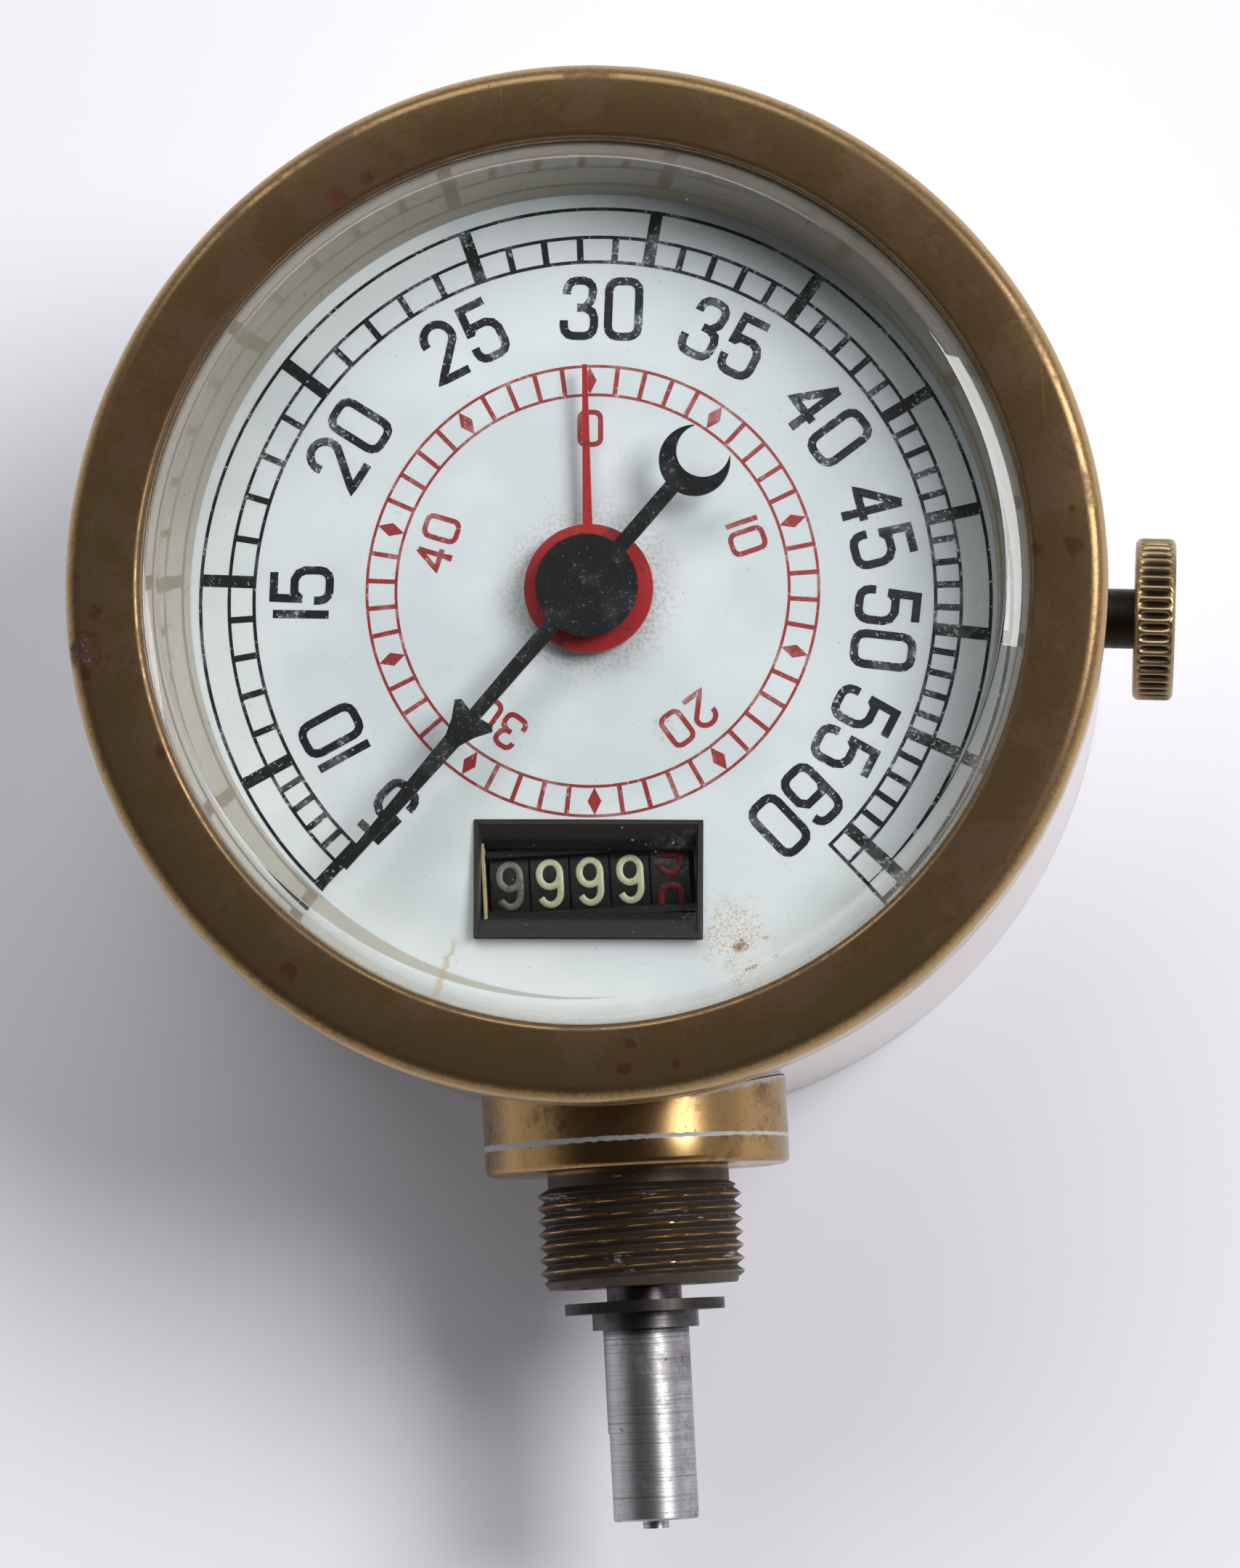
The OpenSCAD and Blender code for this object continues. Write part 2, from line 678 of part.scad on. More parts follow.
module mouth(size, lean, low, mid, rise) intersection() {
    rotate([90, 0, 0]) linear_extrude(height = 2 * window_h, center = true)
        polygon(mouth_side(size[0], low, mid, lean[0], rise));
    rotate([90, 0, 90]) linear_extrude(height = 2 * window_w, center = true)
        polygon(mouth_side(size[1], low, mid, lean[1], rise));
}

module window_frame() color(dark_steel) {
    top = dial_top(window_drop - window_h / 2) + window_clear;
    overlap_drums = 0.4;
    slope_d = 2.2;
    rim_top = 0.4;
    leg_inset = 2;
    foot = drum_z + drum_r - overlap_drums;
    leg_w = window_h - 2 * leg_inset;
    inner = [window_w - 2 * frame_rim, window_h - 2 * frame_sill];
    lean = [frame_rim - rim_top, frame_sill - rim_top];
    difference() {
        at_window(foot) translate([-window_w / 2, -window_h / 2, 0])
            cube([window_w, window_h, top - foot]);
        at_window(foot) mouth(inner, 2 * lean, -cut, top - foot - slope_d, 2 * slope_d);
    }
    for (side = [0, 1]) at_window(plate_top) mirror([side, 0, 0])
        translate([window_w / 2 - frame_rim, -leg_w / 2, 0])
            cube([frame_rim, leg_w, foot - plate_top + sink]);
}

// Movement plate and bearings

function chord(r, h) = sqrt(max(0, r * r - h * h));

// Clearance of the wheels and drums where they pass through the front plate
slot_gap = 0.5;

module wheel_slot(y) {
    half = chord(counter_wheel_r + 2 * slot_gap, plate_z - drum_z);
    translate([jack_x - wheel_t / 2 - slot_gap, y - half, plate_z - cut])
        cube([wheel_t + 2 * slot_gap, 2 * half, plate_t + 2 * cut]);
}

module front_plate() color(bronze) {
    drum_half = chord(drum_r + slot_gap, plate_z - drum_z);
    difference() {
        translate([0, 0, plate_z]) cylinder(r = case_in_r - run_gap, h = plate_t);
        translate([window_x - drums_w / 2 - bracket_gap, window_y - drum_half, plate_z - cut])
            cube([drums_w + 2 * bracket_gap, 2 * drum_half, plate_t + 2 * cut]);
        wheel_slot(window_y);
        wheel_slot(trip_y);
        translate([0, 0, plate_z]) hole(hand_bush_r + seat_gap, plate_t);
        translate([jack_x, jack_y, plate_z]) hole(jack_r + run_gap, plate_t);
        around(front_lug_angles, lug_screw_r)
            translate([0, 0, plate_top]) mirror([0, 0, 1]) flush_screw_hole(plate_t + cut);
    }
}

module plate_screws() color(steel) around(front_lug_angles, lug_screw_r)
    translate([0, 0, plate_top]) mirror([0, 0, 1]) flush_screw(plate_t + screw_bite - pass_gap);

module hand_bush() color(polished) {
    below = 0.6;
    above = 0.9;
    translate([0, 0, plate_z - below]) tube(hand_bush_r, tube_r + run_gap, plate_t + below + above);
}

// A plate that hangs under the front plate and carries a cross shaft at drum height
module hanger(x, y, w, bore_r) {
    low = drum_z - hang_below;
    difference() {
        translate([x, y - w / 2, low]) cube([bracket_t, w, plate_z - low]);
        cross_frame(x, y, drum_z) hole(bore_r, bracket_t);
    }
}

module counter_brackets() color(bronze) {
    hanger(counter_brackets_x[0], window_y, hang_w, axle_r + seat_gap);
    hanger(counter_brackets_x[1], window_y, hang_w, drum_sleeve_r + run_gap);
    hanger(counter_brackets_x[2], window_y, hang_w, axle_r + seat_gap);
}

module trip_brackets() color(bronze) {
    for (x = trip_brackets_x) hanger(x, trip_y, trip_hang_w, trip_shaft_r + run_gap);
}

module counter_axle() color(steel) {
    start = counter_brackets_x[0];
    cross_frame(start, window_y, drum_z) cylinder(r = axle_r, h = outer_bracket_x + bracket_t - start);
}

module jack_bracket() color(bronze) {
    pad_r = jack_r + jack_pad;
    difference() {
        union() {
            translate([jack_post_x, jack_y, jack_arm_z])
                cylinder(r = jack_post_r, h = plate_z - jack_arm_z);
            translate([jack_x, jack_y - jack_post_r, jack_arm_z])
                cube([jack_post_x - jack_x, 2 * jack_post_r, jack_arm_t]);
            translate([jack_x, jack_y, jack_arm_z]) cylinder(r = pad_r, h = jack_arm_t);
        }
        translate([jack_x, jack_y, jack_arm_z]) hole(jack_r + run_gap, jack_arm_t);
    }
}

module upper_bracket() color(bronze) {
    half = 5;
    difference() {
        union() {
            shaft_frame(upper_y) cylinder(r = half, h = upper_t);
            translate([-half, upper_y, shaft_z]) cube([2 * half, upper_t, shaft_drop]);
        }
        shaft_frame(upper_y) hole(shaft_r + run_gap, upper_t);
    }
}

module arbor_bridge() color(bronze) {
    difference() {
        translate([0, 0, bridge_z]) {
            cylinder(r = bridge_pad_r, h = bridge_t);
            for (a = pillar_angles) rotate(a) {
                translate([0, -bridge_w / 2, 0]) cube([pillar_circle, bridge_w, bridge_t]);
                translate([pillar_circle, 0, 0]) cylinder(r = bridge_w / 2, h = bridge_t);
            }
        }
        translate([0, 0, bridge_z]) hole(arbor_r + run_gap, bridge_t);
    }
}

module bridge_pillars() color(steel) around(pillar_angles, pillar_circle)
    translate([0, 0, bridge_z + bridge_t]) cylinder(r = pillar_r, h = plate_z - bridge_z - bridge_t);

module sector_stud() color(steel) {
    pin_r = arbor_r;
    head_r = 2;
    shoulder_r = 1.6;
    shoulder_z = lever_z + lever_hub_h + pass_gap;
    head_z = lever_z - pass_gap - stud_head_t;
    translate([stud_x, stud_y, 0]) {
        translate([0, 0, head_z]) cylinder(r = head_r, h = stud_head_t);
        translate([0, 0, head_z]) cylinder(r = pin_r, h = plate_z - head_z);
        translate([0, 0, shoulder_z]) cylinder(r = shoulder_r, h = plate_z - shoulder_z);
    }
}

// Drive spigot and shaft

boss_reach = case_r + boss_stand;
flange_y = -boss_reach - flange_t;
thread_y = flange_y - neck_l;
spigot_end = thread_y - thread_l;
plug_l = 10;
washer_y = spigot_end - washer_gap - washer_t;
shaft_collar_y = washer_y - shaft_collar_t;
shaft_end_y = shaft_collar_y - shaft_end_l;
journal_short = 1;
journal_end = -boss_reach + plug_l - journal_short;

module drive_boss() color(polished) difference() {
    shaft_frame(-boss_reach) cylinder(r = boss_r, h = boss_reach - case_r / 2);
    barrel(run_gap);
    shaft_frame(-boss_reach) hole(plug_r + seat_gap, boss_reach);
}

module drive_spigot() color(polished) shaft_frame() {
    thread_chamfer = 0.7;
    bore = spigot_bush_r + seat_gap;
    rotate_extrude() polygon(concat(
        [[bore, spigot_end], [thread_r - thread_chamfer, spigot_end]],
        [[thread_r, spigot_end + thread_chamfer], [thread_r, thread_y - thread_chamfer]],
        [[thread_r - thread_chamfer, thread_y], [neck_r, thread_y], [neck_r, flange_y]],
        arc(boss_r - flange_edge, flange_y + flange_edge, flange_edge, -90, 0, 4),
        [[boss_r, -boss_reach], [plug_r, -boss_reach], [plug_r, -boss_reach + plug_l],
         [bore, -boss_reach + plug_l]]
    ));
}

module spigot_bush() color(bronze) shaft_frame(spigot_end)
    tube(spigot_bush_r, journal_r + run_gap, -boss_reach + plug_l - spigot_end);

module drive_shaft() color(steel) {
    end_chamfer = 0.2;
    tang_r = 1.4;
    tang_l = 0.9;
    flat_share = 0.55;
    shaft_top = upper_y + upper_t + shaft_tail;
    seat_r = spring_r + spring_wire_r;
    difference() {
        shaft_frame() rotate_extrude() polygon([
            [0, shaft_end_y - tang_l], [tang_r, shaft_end_y - tang_l], [tang_r, shaft_end_y],
            [shaft_end_r - end_chamfer, shaft_end_y], [shaft_end_r, shaft_end_y + end_chamfer],
            [shaft_end_r, shaft_collar_y], [shaft_collar_r, shaft_collar_y], [shaft_collar_r, washer_y],
            [journal_r, washer_y], [journal_r, journal_end], [shaft_r, journal_end],
            [shaft_r, spring_y - spring_seat_t], [seat_r, spring_y - spring_seat_t],
            [seat_r, spring_y - end_gap], [shaft_r, spring_y - end_gap], [shaft_r, shaft_top], [0, shaft_top]
        ]);
        translate([shaft_flat - 2 * shaft_end_r, shaft_end_y - tang_l - cut, shaft_z - shaft_end_r])
            cube([shaft_end_r, shaft_end_l * flat_share, 2 * shaft_end_r]);
    }
}

module drive_washer() color(steel) shaft_frame(washer_y) tube(washer_r, journal_r + seat_gap, washer_t);

module drive_worm() color(bronze) shaft_frame(jack_y)
    worm(drive_worm_r, jack_wheel_r, jack_teeth, shaft_r + seat_gap, 0);

// Governor

module governor_hub() color(bronze) {
    ear_in = fly_t / 2 + ear_gap;
    difference() {
        union() {
            shaft_frame(hub_y) cylinder(r = hub_r, h = hub_t);
            shaft_frame(hub_y) cylinder(r = hub_sleeve_r, h = hub_t + hub_sleeve_l);
            for (side = [-1, 1], up = [0, 1])
                translate([side * fly_pivot_r, 0, shaft_z]) mirror([0, 0, up])
                    translate([-fly_boss_r, fly_y - fly_boss_r, ear_in])
                        cube([2 * fly_boss_r, hub_y - fly_y + fly_boss_r + sink, ear_t]);
        }
        shaft_frame(hub_y) hole(shaft_r + seat_gap, hub_t + hub_sleeve_l);
        for (side = [-1, 1]) translate([side * fly_pivot_r, fly_y, shaft_z - ear_in - ear_t])
            hole(fly_pin_r + seat_gap, 2 * (ear_in + ear_t));
    }
}

module governor_pins() color(steel) {
    half = fly_t / 2 + ear_gap + ear_t;
    for (side = [-1, 1]) translate([side * fly_pivot_r, fly_y, shaft_z - half])
        cylinder(r = fly_pin_r, h = 2 * half);
}

module governor_spring() color(dark_steel) shaft_frame(spring_y)
    coil(governor_spring_path, spring_wire_r);

module governor_collar() color(steel) shaft_frame() {
    bore = shaft_r + run_gap;
    low = groove_y - groove_w / 2;
    high = groove_y + groove_w / 2;
    pivot_clear = 1;
    toe_flange_r = fly_pivot_r - fly_boss_r - pivot_clear;
    rotate_extrude() polygon([
        [bore, low - flange_w], [groove_flange_r, low - flange_w], [groove_flange_r, low],
        [sleeve_r, low], [sleeve_r, high],
        [groove_flange_r, high], [groove_flange_r, high + flange_w], [sleeve_r, high + flange_w],
        [sleeve_r, toe_flange_y - flange_w], [toe_flange_r, toe_flange_y - flange_w],
        [toe_flange_r, toe_flange_y], [bore, toe_flange_y]
    ]);
}

// A bell crank at rest on the +X side: its arm hangs along -Y and its toe points at the shaft
module flyweight() {
    arm_w = 2.4;
    translate([fly_pivot_r, fly_y, shaft_z - fly_t / 2]) difference() {
        union() {
            cylinder(r = fly_boss_r, h = fly_t);
            translate([-arm_w / 2, -fly_arm, 0]) cube([arm_w, fly_arm, fly_t]);
            translate([-toe_l, -toe_t / 2, 0]) cube([toe_l, toe_t, fly_t]);
            translate([0, -fly_arm, fly_t / 2 - fly_weight_r])
                cylinder(r = fly_weight_r, h = 2 * fly_weight_r);
        }
        hole(fly_pin_r + run_gap, fly_t);
    }
}

module flyweight_right() color(brass) flyweight();
module flyweight_left() color(brass) mirror([1, 0, 0]) flyweight();

// Hand train

sector_pitch = 360 / sector_teeth;
sector_spare = 2;
sector_first = -ceil(lever_swing / sector_pitch) - sector_spare;
gear_root = 1.25;
pinion_root = 1.15;
sector_tip = 0.6;
pinion_tip = 0.9;

module sector_lever() color(polished) {
    rim = 2.2;
    spoke_w = 2;
    spoke_inset = 4;
    rim_steps = 16;
    pin_clear = 0.4;
    root = sector_r - gear_root * hand_module;
    tip = sector_r + sector_tip * hand_module;
    low_angle = mesh_angle + (sector_first - 0.5) * sector_pitch;
    high_angle = mesh_angle + (sector_spare + 0.5) * sector_pitch;
    pin_angle = 180 - lever_swing / 2;
    pin_l = lever_z - shaft_z - sleeve_r - pin_clear;
    translate([stud_x, stud_y, lever_z]) difference() {
        union() {
            cylinder(r = lever_hub_r, h = lever_hub_h);
            linear_extrude(lever_t) polygon(concat(
                [for (i = [sector_first:sector_spare]) each involute_tooth(
                    mesh_angle + i * sector_pitch, sector_r, sector_teeth, root, tip)],
                arc(0, 0, root - rim, high_angle, low_angle, rim_steps)
            ));
            for (a = [low_angle + spoke_inset, high_angle - spoke_inset]) rotate(a)
                translate([0, -spoke_w / 2, 0]) cube([root - rim / 2, spoke_w, lever_t]);
            rotate(pin_angle) {
                translate([0, -spoke_w / 2, 0]) cube([lever_arm, spoke_w, lever_t]);
                translate([lever_arm, 0, 0]) cylinder(r = spoke_w / 2, h = lever_t);
                translate([lever_arm, 0, -pin_l]) cylinder(r = follower_r, h = pin_l + lever_t);
            }
        }
        hole(arbor_r + run_gap, lever_hub_h);
    }
}

module hand_pinion() color(polished) {
    margin = 0.4;
    root = pinion_r - pinion_root * hand_module;
    tip = pinion_r + pinion_tip * hand_module;
    first = mesh_angle + 180 + 180 / pinion_teeth;
    translate([0, 0, lever_z - margin]) linear_extrude(lever_t + 2 * margin) difference() {
        polygon([for (i = [0:pinion_teeth - 1]) each involute_tooth(
            first + i * 360 / pinion_teeth, pinion_r, pinion_teeth, root, tip)]);
        circle(r = arbor_r + seat_gap);
    }
}

module hand_arbor() color(steel) {
    low = bridge_z + end_gap;
    translate([0, 0, low]) cylinder(r = arbor_r, h = speed_hand_z + hand_t - low);
}

// A black hand that points along +Y before it is turned: a blade with barbs, a hub and a crescent tail
module speed_hand() color(black) dial_frame(speed_hand_z) rotate(-hand_rest) {
    blade_w = 1.8;
    neck_w = 1.4;
    tip_w = 0.9;
    barb_y = 17.9;
    barb_w = 5.2;
    barb_back = 0.3;
    barb_t = 0.5;
    waist_w = 3.1;
    waist_y = barb_y + 1.9;
    barb_end = barb_y + 3.6;
    tail_w = 1.6;
    tail_sink = 0.4;
    crescent_shift = 0.5;
    tail_l = crescent_l - crescent_r + tail_sink;
    side = [
        [blade_w / 2, 0], [neck_w / 2, barb_y], [barb_w / 2 - barb_t, barb_y - barb_back],
        [barb_w / 2, barb_y - barb_back + barb_t], [waist_w / 2, waist_y], [blade_w / 2, barb_end],
        [tip_w / 2, hand_l]
    ];
    other_side = [for (i = [len(side) - 1:-1:0]) [-side[i][0], side[i][1]]];
    collet_r = tube_r;
    collet_h = hand_gap - pass_gap;
    difference() {
        union() {
            linear_extrude(hand_t) difference() {
                union() {
                    circle(r = hand_hub_r);
                    polygon(concat(side, other_side));
                    translate([-tail_w / 2, -tail_l]) square([tail_w, tail_l]);
                    translate([0, -crescent_l]) circle(r = crescent_r);
                }
                translate([0, crescent_cut_r - crescent_shift - crescent_l - crescent_r])
                    circle(r = crescent_cut_r);
            }
            translate([0, 0, -collet_h]) cylinder(r = collet_r, h = collet_h + hand_t);
        }
        translate([0, 0, -collet_h]) hole(arbor_r + seat_gap, collet_h + hand_t);
    }
}

// Counter and trip train

module jack_spindle() color(steel) translate([jack_x, jack_y, jack_arm_z])
    cylinder(r = jack_r, h = plate_top - jack_arm_z);

module jack_wheel() color(polished) translate([jack_x, jack_y, shaft_z - wheel_t / 2]) difference() {
    worm_wheel(jack_wheel_r, jack_teeth, 180);
    hole(jack_r + seat_gap, wheel_t);
}

module jack_worm() color(bronze) translate([jack_x, jack_y, drum_z])
    worm(jack_worm_r, counter_wheel_r, counter_teeth, jack_r + seat_gap, -90);

// A worm wheel on a cross shaft: its tooth, or gap, faces the jack worm
module cross_wheel(y, toward, gap_first, bore_r) {
    cross_frame(jack_x - wheel_t / 2, y, drum_z) difference() {
        worm_wheel(counter_wheel_r, counter_teeth, toward, gap_first);
        hole(bore_r, wheel_t);
    }
}

module counter_wheel() color(polished) cross_wheel(window_y, 90, false, drum_sleeve_r + seat_gap);
module trip_shaft_wheel() color(polished) cross_wheel(trip_y, -90, true, trip_shaft_r + seat_gap);

module trip_shaft() color(steel) cross_frame(trip_left_x, trip_y, drum_z)
    cylinder(r = trip_shaft_r, h = outer_bracket_x + bracket_t - trip_left_x);

module trip_worm() color(bronze) cross_frame(0, trip_y, drum_z)
    worm(trip_worm_r, trip_wheel_r, trip_teeth, trip_shaft_r + seat_gap, 90);

module trip_wheel() color(polished) difference() {
    union() {
        translate([0, 0, trip_gear_z]) worm_wheel(trip_wheel_r, trip_teeth, -90);
        translate([0, 0, trip_gear_z]) cylinder(r = trip_hub_gear_r, h = wheel_t + trip_hub_h);
    }
    translate([0, 0, trip_gear_z]) hole(tube_r + run_gap, wheel_t + trip_hub_h);
}

module trip_tube() color(steel) {
    bore = arbor_r + run_gap;
    foot_end = tube_foot_z + tube_foot_t;
    tube_top = trip_hand_z + hand_t;
    rotate_extrude() polygon([
        [bore, tube_foot_z], [tube_foot_r, tube_foot_z], [tube_foot_r, foot_end],
        [tube_r, foot_end], [tube_r, tube_top], [bore, tube_top]
    ]);
}

module reset_disc() color(polished) translate([0, 0, reset_disc_z])
    tube(reset_disc_r, tube_r + seat_gap, reset_disc_t);

module clutch_washer() color(dark_steel) rotate_extrude() polygon([
    [tube_r + seat_gap, clutch_z], [tube_r + clutch_foot_w, clutch_z],
    [clutch_r, reset_disc_z - clutch_t], [clutch_r, reset_disc_z], [clutch_r - clutch_rim_w, reset_disc_z],
    [tube_r + seat_gap, clutch_z + clutch_t]
]);

module trip_hand() color(red) dial_frame(trip_hand_z) rotate(trip_rest) linear_extrude(hand_t) {
    root_w = 1.2;
    tip_w = 0.5;
    difference() {
        union() {
            circle(r = trip_hub_r);
            polygon([
                [-root_w / 2, 0], [root_w / 2, 0], [tip_w / 2, trip_hand_l], [-tip_w / 2, trip_hand_l]
            ]);
        }
        circle(r = tube_r + seat_gap);
    }
}

// A counter drum: rim, web and hub about the axle, with room beside the web for its carry gear
module drum(index) {
    width = drum_pitch - drum_gap;
    rim = 1.5;
    web = 1.2;
    hub_r = drum_sleeve_r;
    start = window_x - drums_w / 2 + index * drum_pitch + drum_gap / 2;
    bore = axle_r + run_gap;
    cross_frame(start, window_y, drum_z) rotate_extrude() polygon([
        [bore, 0], [drum_r, 0], [drum_r, width], [drum_r - rim, width], [drum_r - rim, web],
        [hub_r, web], [hub_r, width], [bore, width]
    ]);
}

module thousands_drum() color(black) drum(0);
module hundreds_drum() color(black) drum(1);
module tens_drum() color(black) drum(2);
module units_drum() color(black) drum(3);
module tenths_drum() color(black) {
    sleeve_x = window_x + drums_w / 2 - drum_gap / 2;
    drum(4);
    cross_frame(sleeve_x - sink, window_y, drum_z)
        tube(drum_sleeve_r, axle_r + run_gap, jack_x + wheel_t / 2 - sleeve_x + sink);
}

// Reset

module reset_bush() color(dark_steel) reset_frame(bush_in)
    tube(reset_bush_r, stem_r + run_gap, bush_out - bush_in);

module reset_bracket() color(bronze) rotate(-knob_turn) {
    half = 4;
    low = reset_z - half;
    difference() {
        translate([reset_bracket_x, -half, low]) cube([reset_bracket_t, 2 * half, plate_z - low]);
        translate([reset_bracket_x, 0, reset_z]) rotate([0, 90, 0])
            hole(stem_inner_r + run_gap, reset_bracket_t);
    }
}

reset_spring_clear = 0.5;
reset_spring_l = reset_washer_x - reset_bracket_x - reset_bracket_t - 2 * end_gap;
reset_spring_r = stem_inner_r + reset_wire_r + reset_spring_clear;
reset_spring_path = coil_path(reset_spring_r, reset_spring_l, reset_turns, reset_wire_r);
echo(reset_spring_gap = coil_gap(reset_spring_path, reset_wire_r));

module reset_spring() color(steel) reset_frame(reset_bracket_x + reset_bracket_t + end_gap)
    coil(reset_spring_path, reset_wire_r);

module reset_washer() color(steel) reset_frame(reset_washer_x)
    tube(stem_collar_r, stem_inner_r + run_gap, reset_washer_t);

module reset_stem() color(dark_steel) reset_frame() rotate_extrude() polygon([
    [0, friction_x - stem_tip], [stem_inner_r, friction_x - stem_tip], [stem_inner_r, stem_shoulder],
    [stem_collar_r, stem_shoulder], [stem_collar_r, stem_shoulder + stem_collar_l],
    [stem_r, stem_shoulder + stem_collar_l], [stem_r, knob_reach], [stem_tenon_r, knob_reach],
    [stem_tenon_r, knob_reach + knob_socket], [0, knob_reach + knob_socket]
]);

module friction_wheel() color(bronze) reset_frame(friction_x)
    tube(friction_r, stem_inner_r + seat_gap, friction_t);

// The knob's rim carries a row of straight knurl grooves between two plain rounded edges
module reset_knob() color(polished) reset_frame(knob_reach) {
    knurls = 44;
    knurl_r = 0.35;
    knurl_out = 0.1;
    bore = stem_tenon_r + seat_gap;
    difference() {
        rotate_extrude() polygon(concat(
            [[0, knob_socket], [bore, knob_socket], [bore, 0]],
            arc(knob_r - knob_edge, knob_edge, knob_edge, -90, 0, 4),
            arc(knob_r - knob_edge, knob_t - knob_edge, knob_edge, 0, 90, 4),
            [[0, knob_t]]
        ));
        for (i = [0:knurls - 1]) rotate(i * 360 / knurls)
            translate([knob_r + knurl_out, 0, 0]) hole(knurl_r, knob_t);
    }
}

case_shell();
back_cover();
back_screws();
bezel();
glass();
inner_ring();
dial();
window_frame();
front_plate();
plate_screws();
hand_bush();
drive_boss();
drive_spigot();
spigot_bush();
upper_bracket();
arbor_bridge();
bridge_pillars();
sector_stud();
counter_brackets();
counter_axle();
jack_bracket();
trip_brackets();
reset_bush();
reset_bracket();
reset_spring();
drive_shaft();
drive_washer();
drive_worm();
governor_hub();
governor_pins();
governor_spring();
governor_collar();
flyweight_right();
flyweight_left();
hand_arbor();
hand_pinion();
speed_hand();
sector_lever();
jack_spindle();
jack_wheel();
jack_worm();
trip_shaft();
trip_shaft_wheel();
trip_worm();
trip_wheel();
trip_tube();
reset_disc();
clutch_washer();
trip_hand();
counter_wheel();
tenths_drum();
units_drum();
tens_drum();
hundreds_drum();
thousands_drum();
reset_washer();
reset_stem();
reset_knob();
friction_wheel();
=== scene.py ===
"""Vintage speedometer: finishes, printed dial, thread, springs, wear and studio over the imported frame."""

import functools
import logging
import math
from dataclasses import dataclass
from enum import Enum
from typing import Callable, Iterable, Sequence

import bmesh
import bpy
from mathutils import Matrix, Vector, noise


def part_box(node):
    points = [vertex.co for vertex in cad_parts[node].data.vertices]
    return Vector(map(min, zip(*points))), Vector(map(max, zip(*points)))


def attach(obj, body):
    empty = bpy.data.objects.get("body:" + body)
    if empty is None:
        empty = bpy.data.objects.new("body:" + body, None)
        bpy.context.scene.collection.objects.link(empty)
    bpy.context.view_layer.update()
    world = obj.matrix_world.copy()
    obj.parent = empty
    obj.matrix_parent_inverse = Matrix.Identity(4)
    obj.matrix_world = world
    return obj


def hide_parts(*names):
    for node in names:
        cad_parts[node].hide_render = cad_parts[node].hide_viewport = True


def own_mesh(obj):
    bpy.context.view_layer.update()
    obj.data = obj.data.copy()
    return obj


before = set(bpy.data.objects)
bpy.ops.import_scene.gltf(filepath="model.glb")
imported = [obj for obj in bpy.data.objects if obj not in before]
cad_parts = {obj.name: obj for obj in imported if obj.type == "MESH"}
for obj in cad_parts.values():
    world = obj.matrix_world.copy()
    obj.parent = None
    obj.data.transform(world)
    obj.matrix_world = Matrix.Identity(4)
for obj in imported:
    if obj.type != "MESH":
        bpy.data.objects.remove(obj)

LOG = logging.getLogger("speedometer")
MM = 0.001
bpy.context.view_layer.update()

Colour = tuple[float, float, float, float]
Path = list[tuple[float, float]]
Surface = Callable[[float, float, float], Vector]
Mark = tuple[Vector, Vector]


class Slot(Enum):
    """Material slots of the record."""

    AGED_BRASS = "aged_brass"
    POLISHED_BRASS = "polished_brass"
    STEEL = "steel"
    DARK_STEEL = "dark_steel"
    GLASS = "clear_glass"
    ENAMEL = "white_enamel"
    RED = "red_paint"


class Body(Enum):
    """Bodies that carry the added pieces."""

    CASE = "case"
    DRIVE = "drive"
    TENTHS = "tenths"
    UNITS = "units"
    TENS = "tens"
    HUNDREDS = "hundreds"
    THOUSANDS = "thousands"
    RESET = "reset_control"


def srgb(red: int, green: int, blue: int) -> Colour:
    """Linear colour of a screen colour with parts from 0 to 255."""
    linear = [(c / 255 + 0.055) / 1.055 if c > 10 else c / 255 for c in (red, green, blue)]
    return (*[c**2.4 if c > 0.06 else c / 12.92 for c in linear], 1.0)


class Tree:
    """Adds nodes to one node tree through a single method."""

    def __init__(self, tree: bpy.types.NodeTree) -> None:
        """Keeps the tree."""
        self.tree = tree

    @staticmethod
    def find(sockets: bpy.types.bpy_prop_collection, key: str | int) -> bpy.types.NodeSocket:
        """Finds a socket.

        Args:
            sockets: a node's inputs or outputs.
            key: its identifier, name or index.

        Returns:
            The socket.
        """
        for socket in sockets:
            if socket.identifier == key:
                return socket
        return sockets[key]

    def node(self, kind: str, settings: dict | None = None, inputs: dict | None = None) -> bpy.types.Node:
        """Adds a node.

        Args:
            kind: the node's type name.
            settings: properties of the node, set before its sockets.
            inputs: values or linked sockets by identifier, name or index.

        Returns:
            The new node.
        """
        made = self.tree.nodes.new(kind)
        for key, value in (settings or {}).items():
            setattr(made, key, value)
        for key, value in (inputs or {}).items():
            source = getattr(value, "socket", value)
            target = self.find(made.inputs, key)
            if isinstance(source, bpy.types.NodeSocket):
                self.tree.links.new(source, target)
            else:
                target.default_value = source
        return made


class Val:
    """A shader value whose arithmetic adds Math nodes."""

    def __init__(self, graph: "Graph", socket: bpy.types.NodeSocket) -> None:
        """Wraps a socket of a graph."""
        self.graph = graph
        self.socket = socket

    def __add__(self, other: "Val | float") -> "Val":
        """Sum."""
        return self.graph.math("ADD", self, other)

    __radd__ = __add__

    def __sub__(self, other: "Val | float") -> "Val":
        """Difference."""
        return self.graph.math("SUBTRACT", self, other)

    def __rsub__(self, other: "Val | float") -> "Val":
        """Difference from the other."""
        return self.graph.math("SUBTRACT", other, self)

    def __mul__(self, other: "Val | float") -> "Val":
        """Product."""
        return self.graph.math("MULTIPLY", self, other)

    __rmul__ = __mul__

    def __pow__(self, other: "Val | float") -> "Val":
        """Power."""
        return self.graph.math("POWER", self, other)

    def __abs__(self) -> "Val":
        """Size without its sign."""
        return self.graph.math("ABSOLUTE", self)


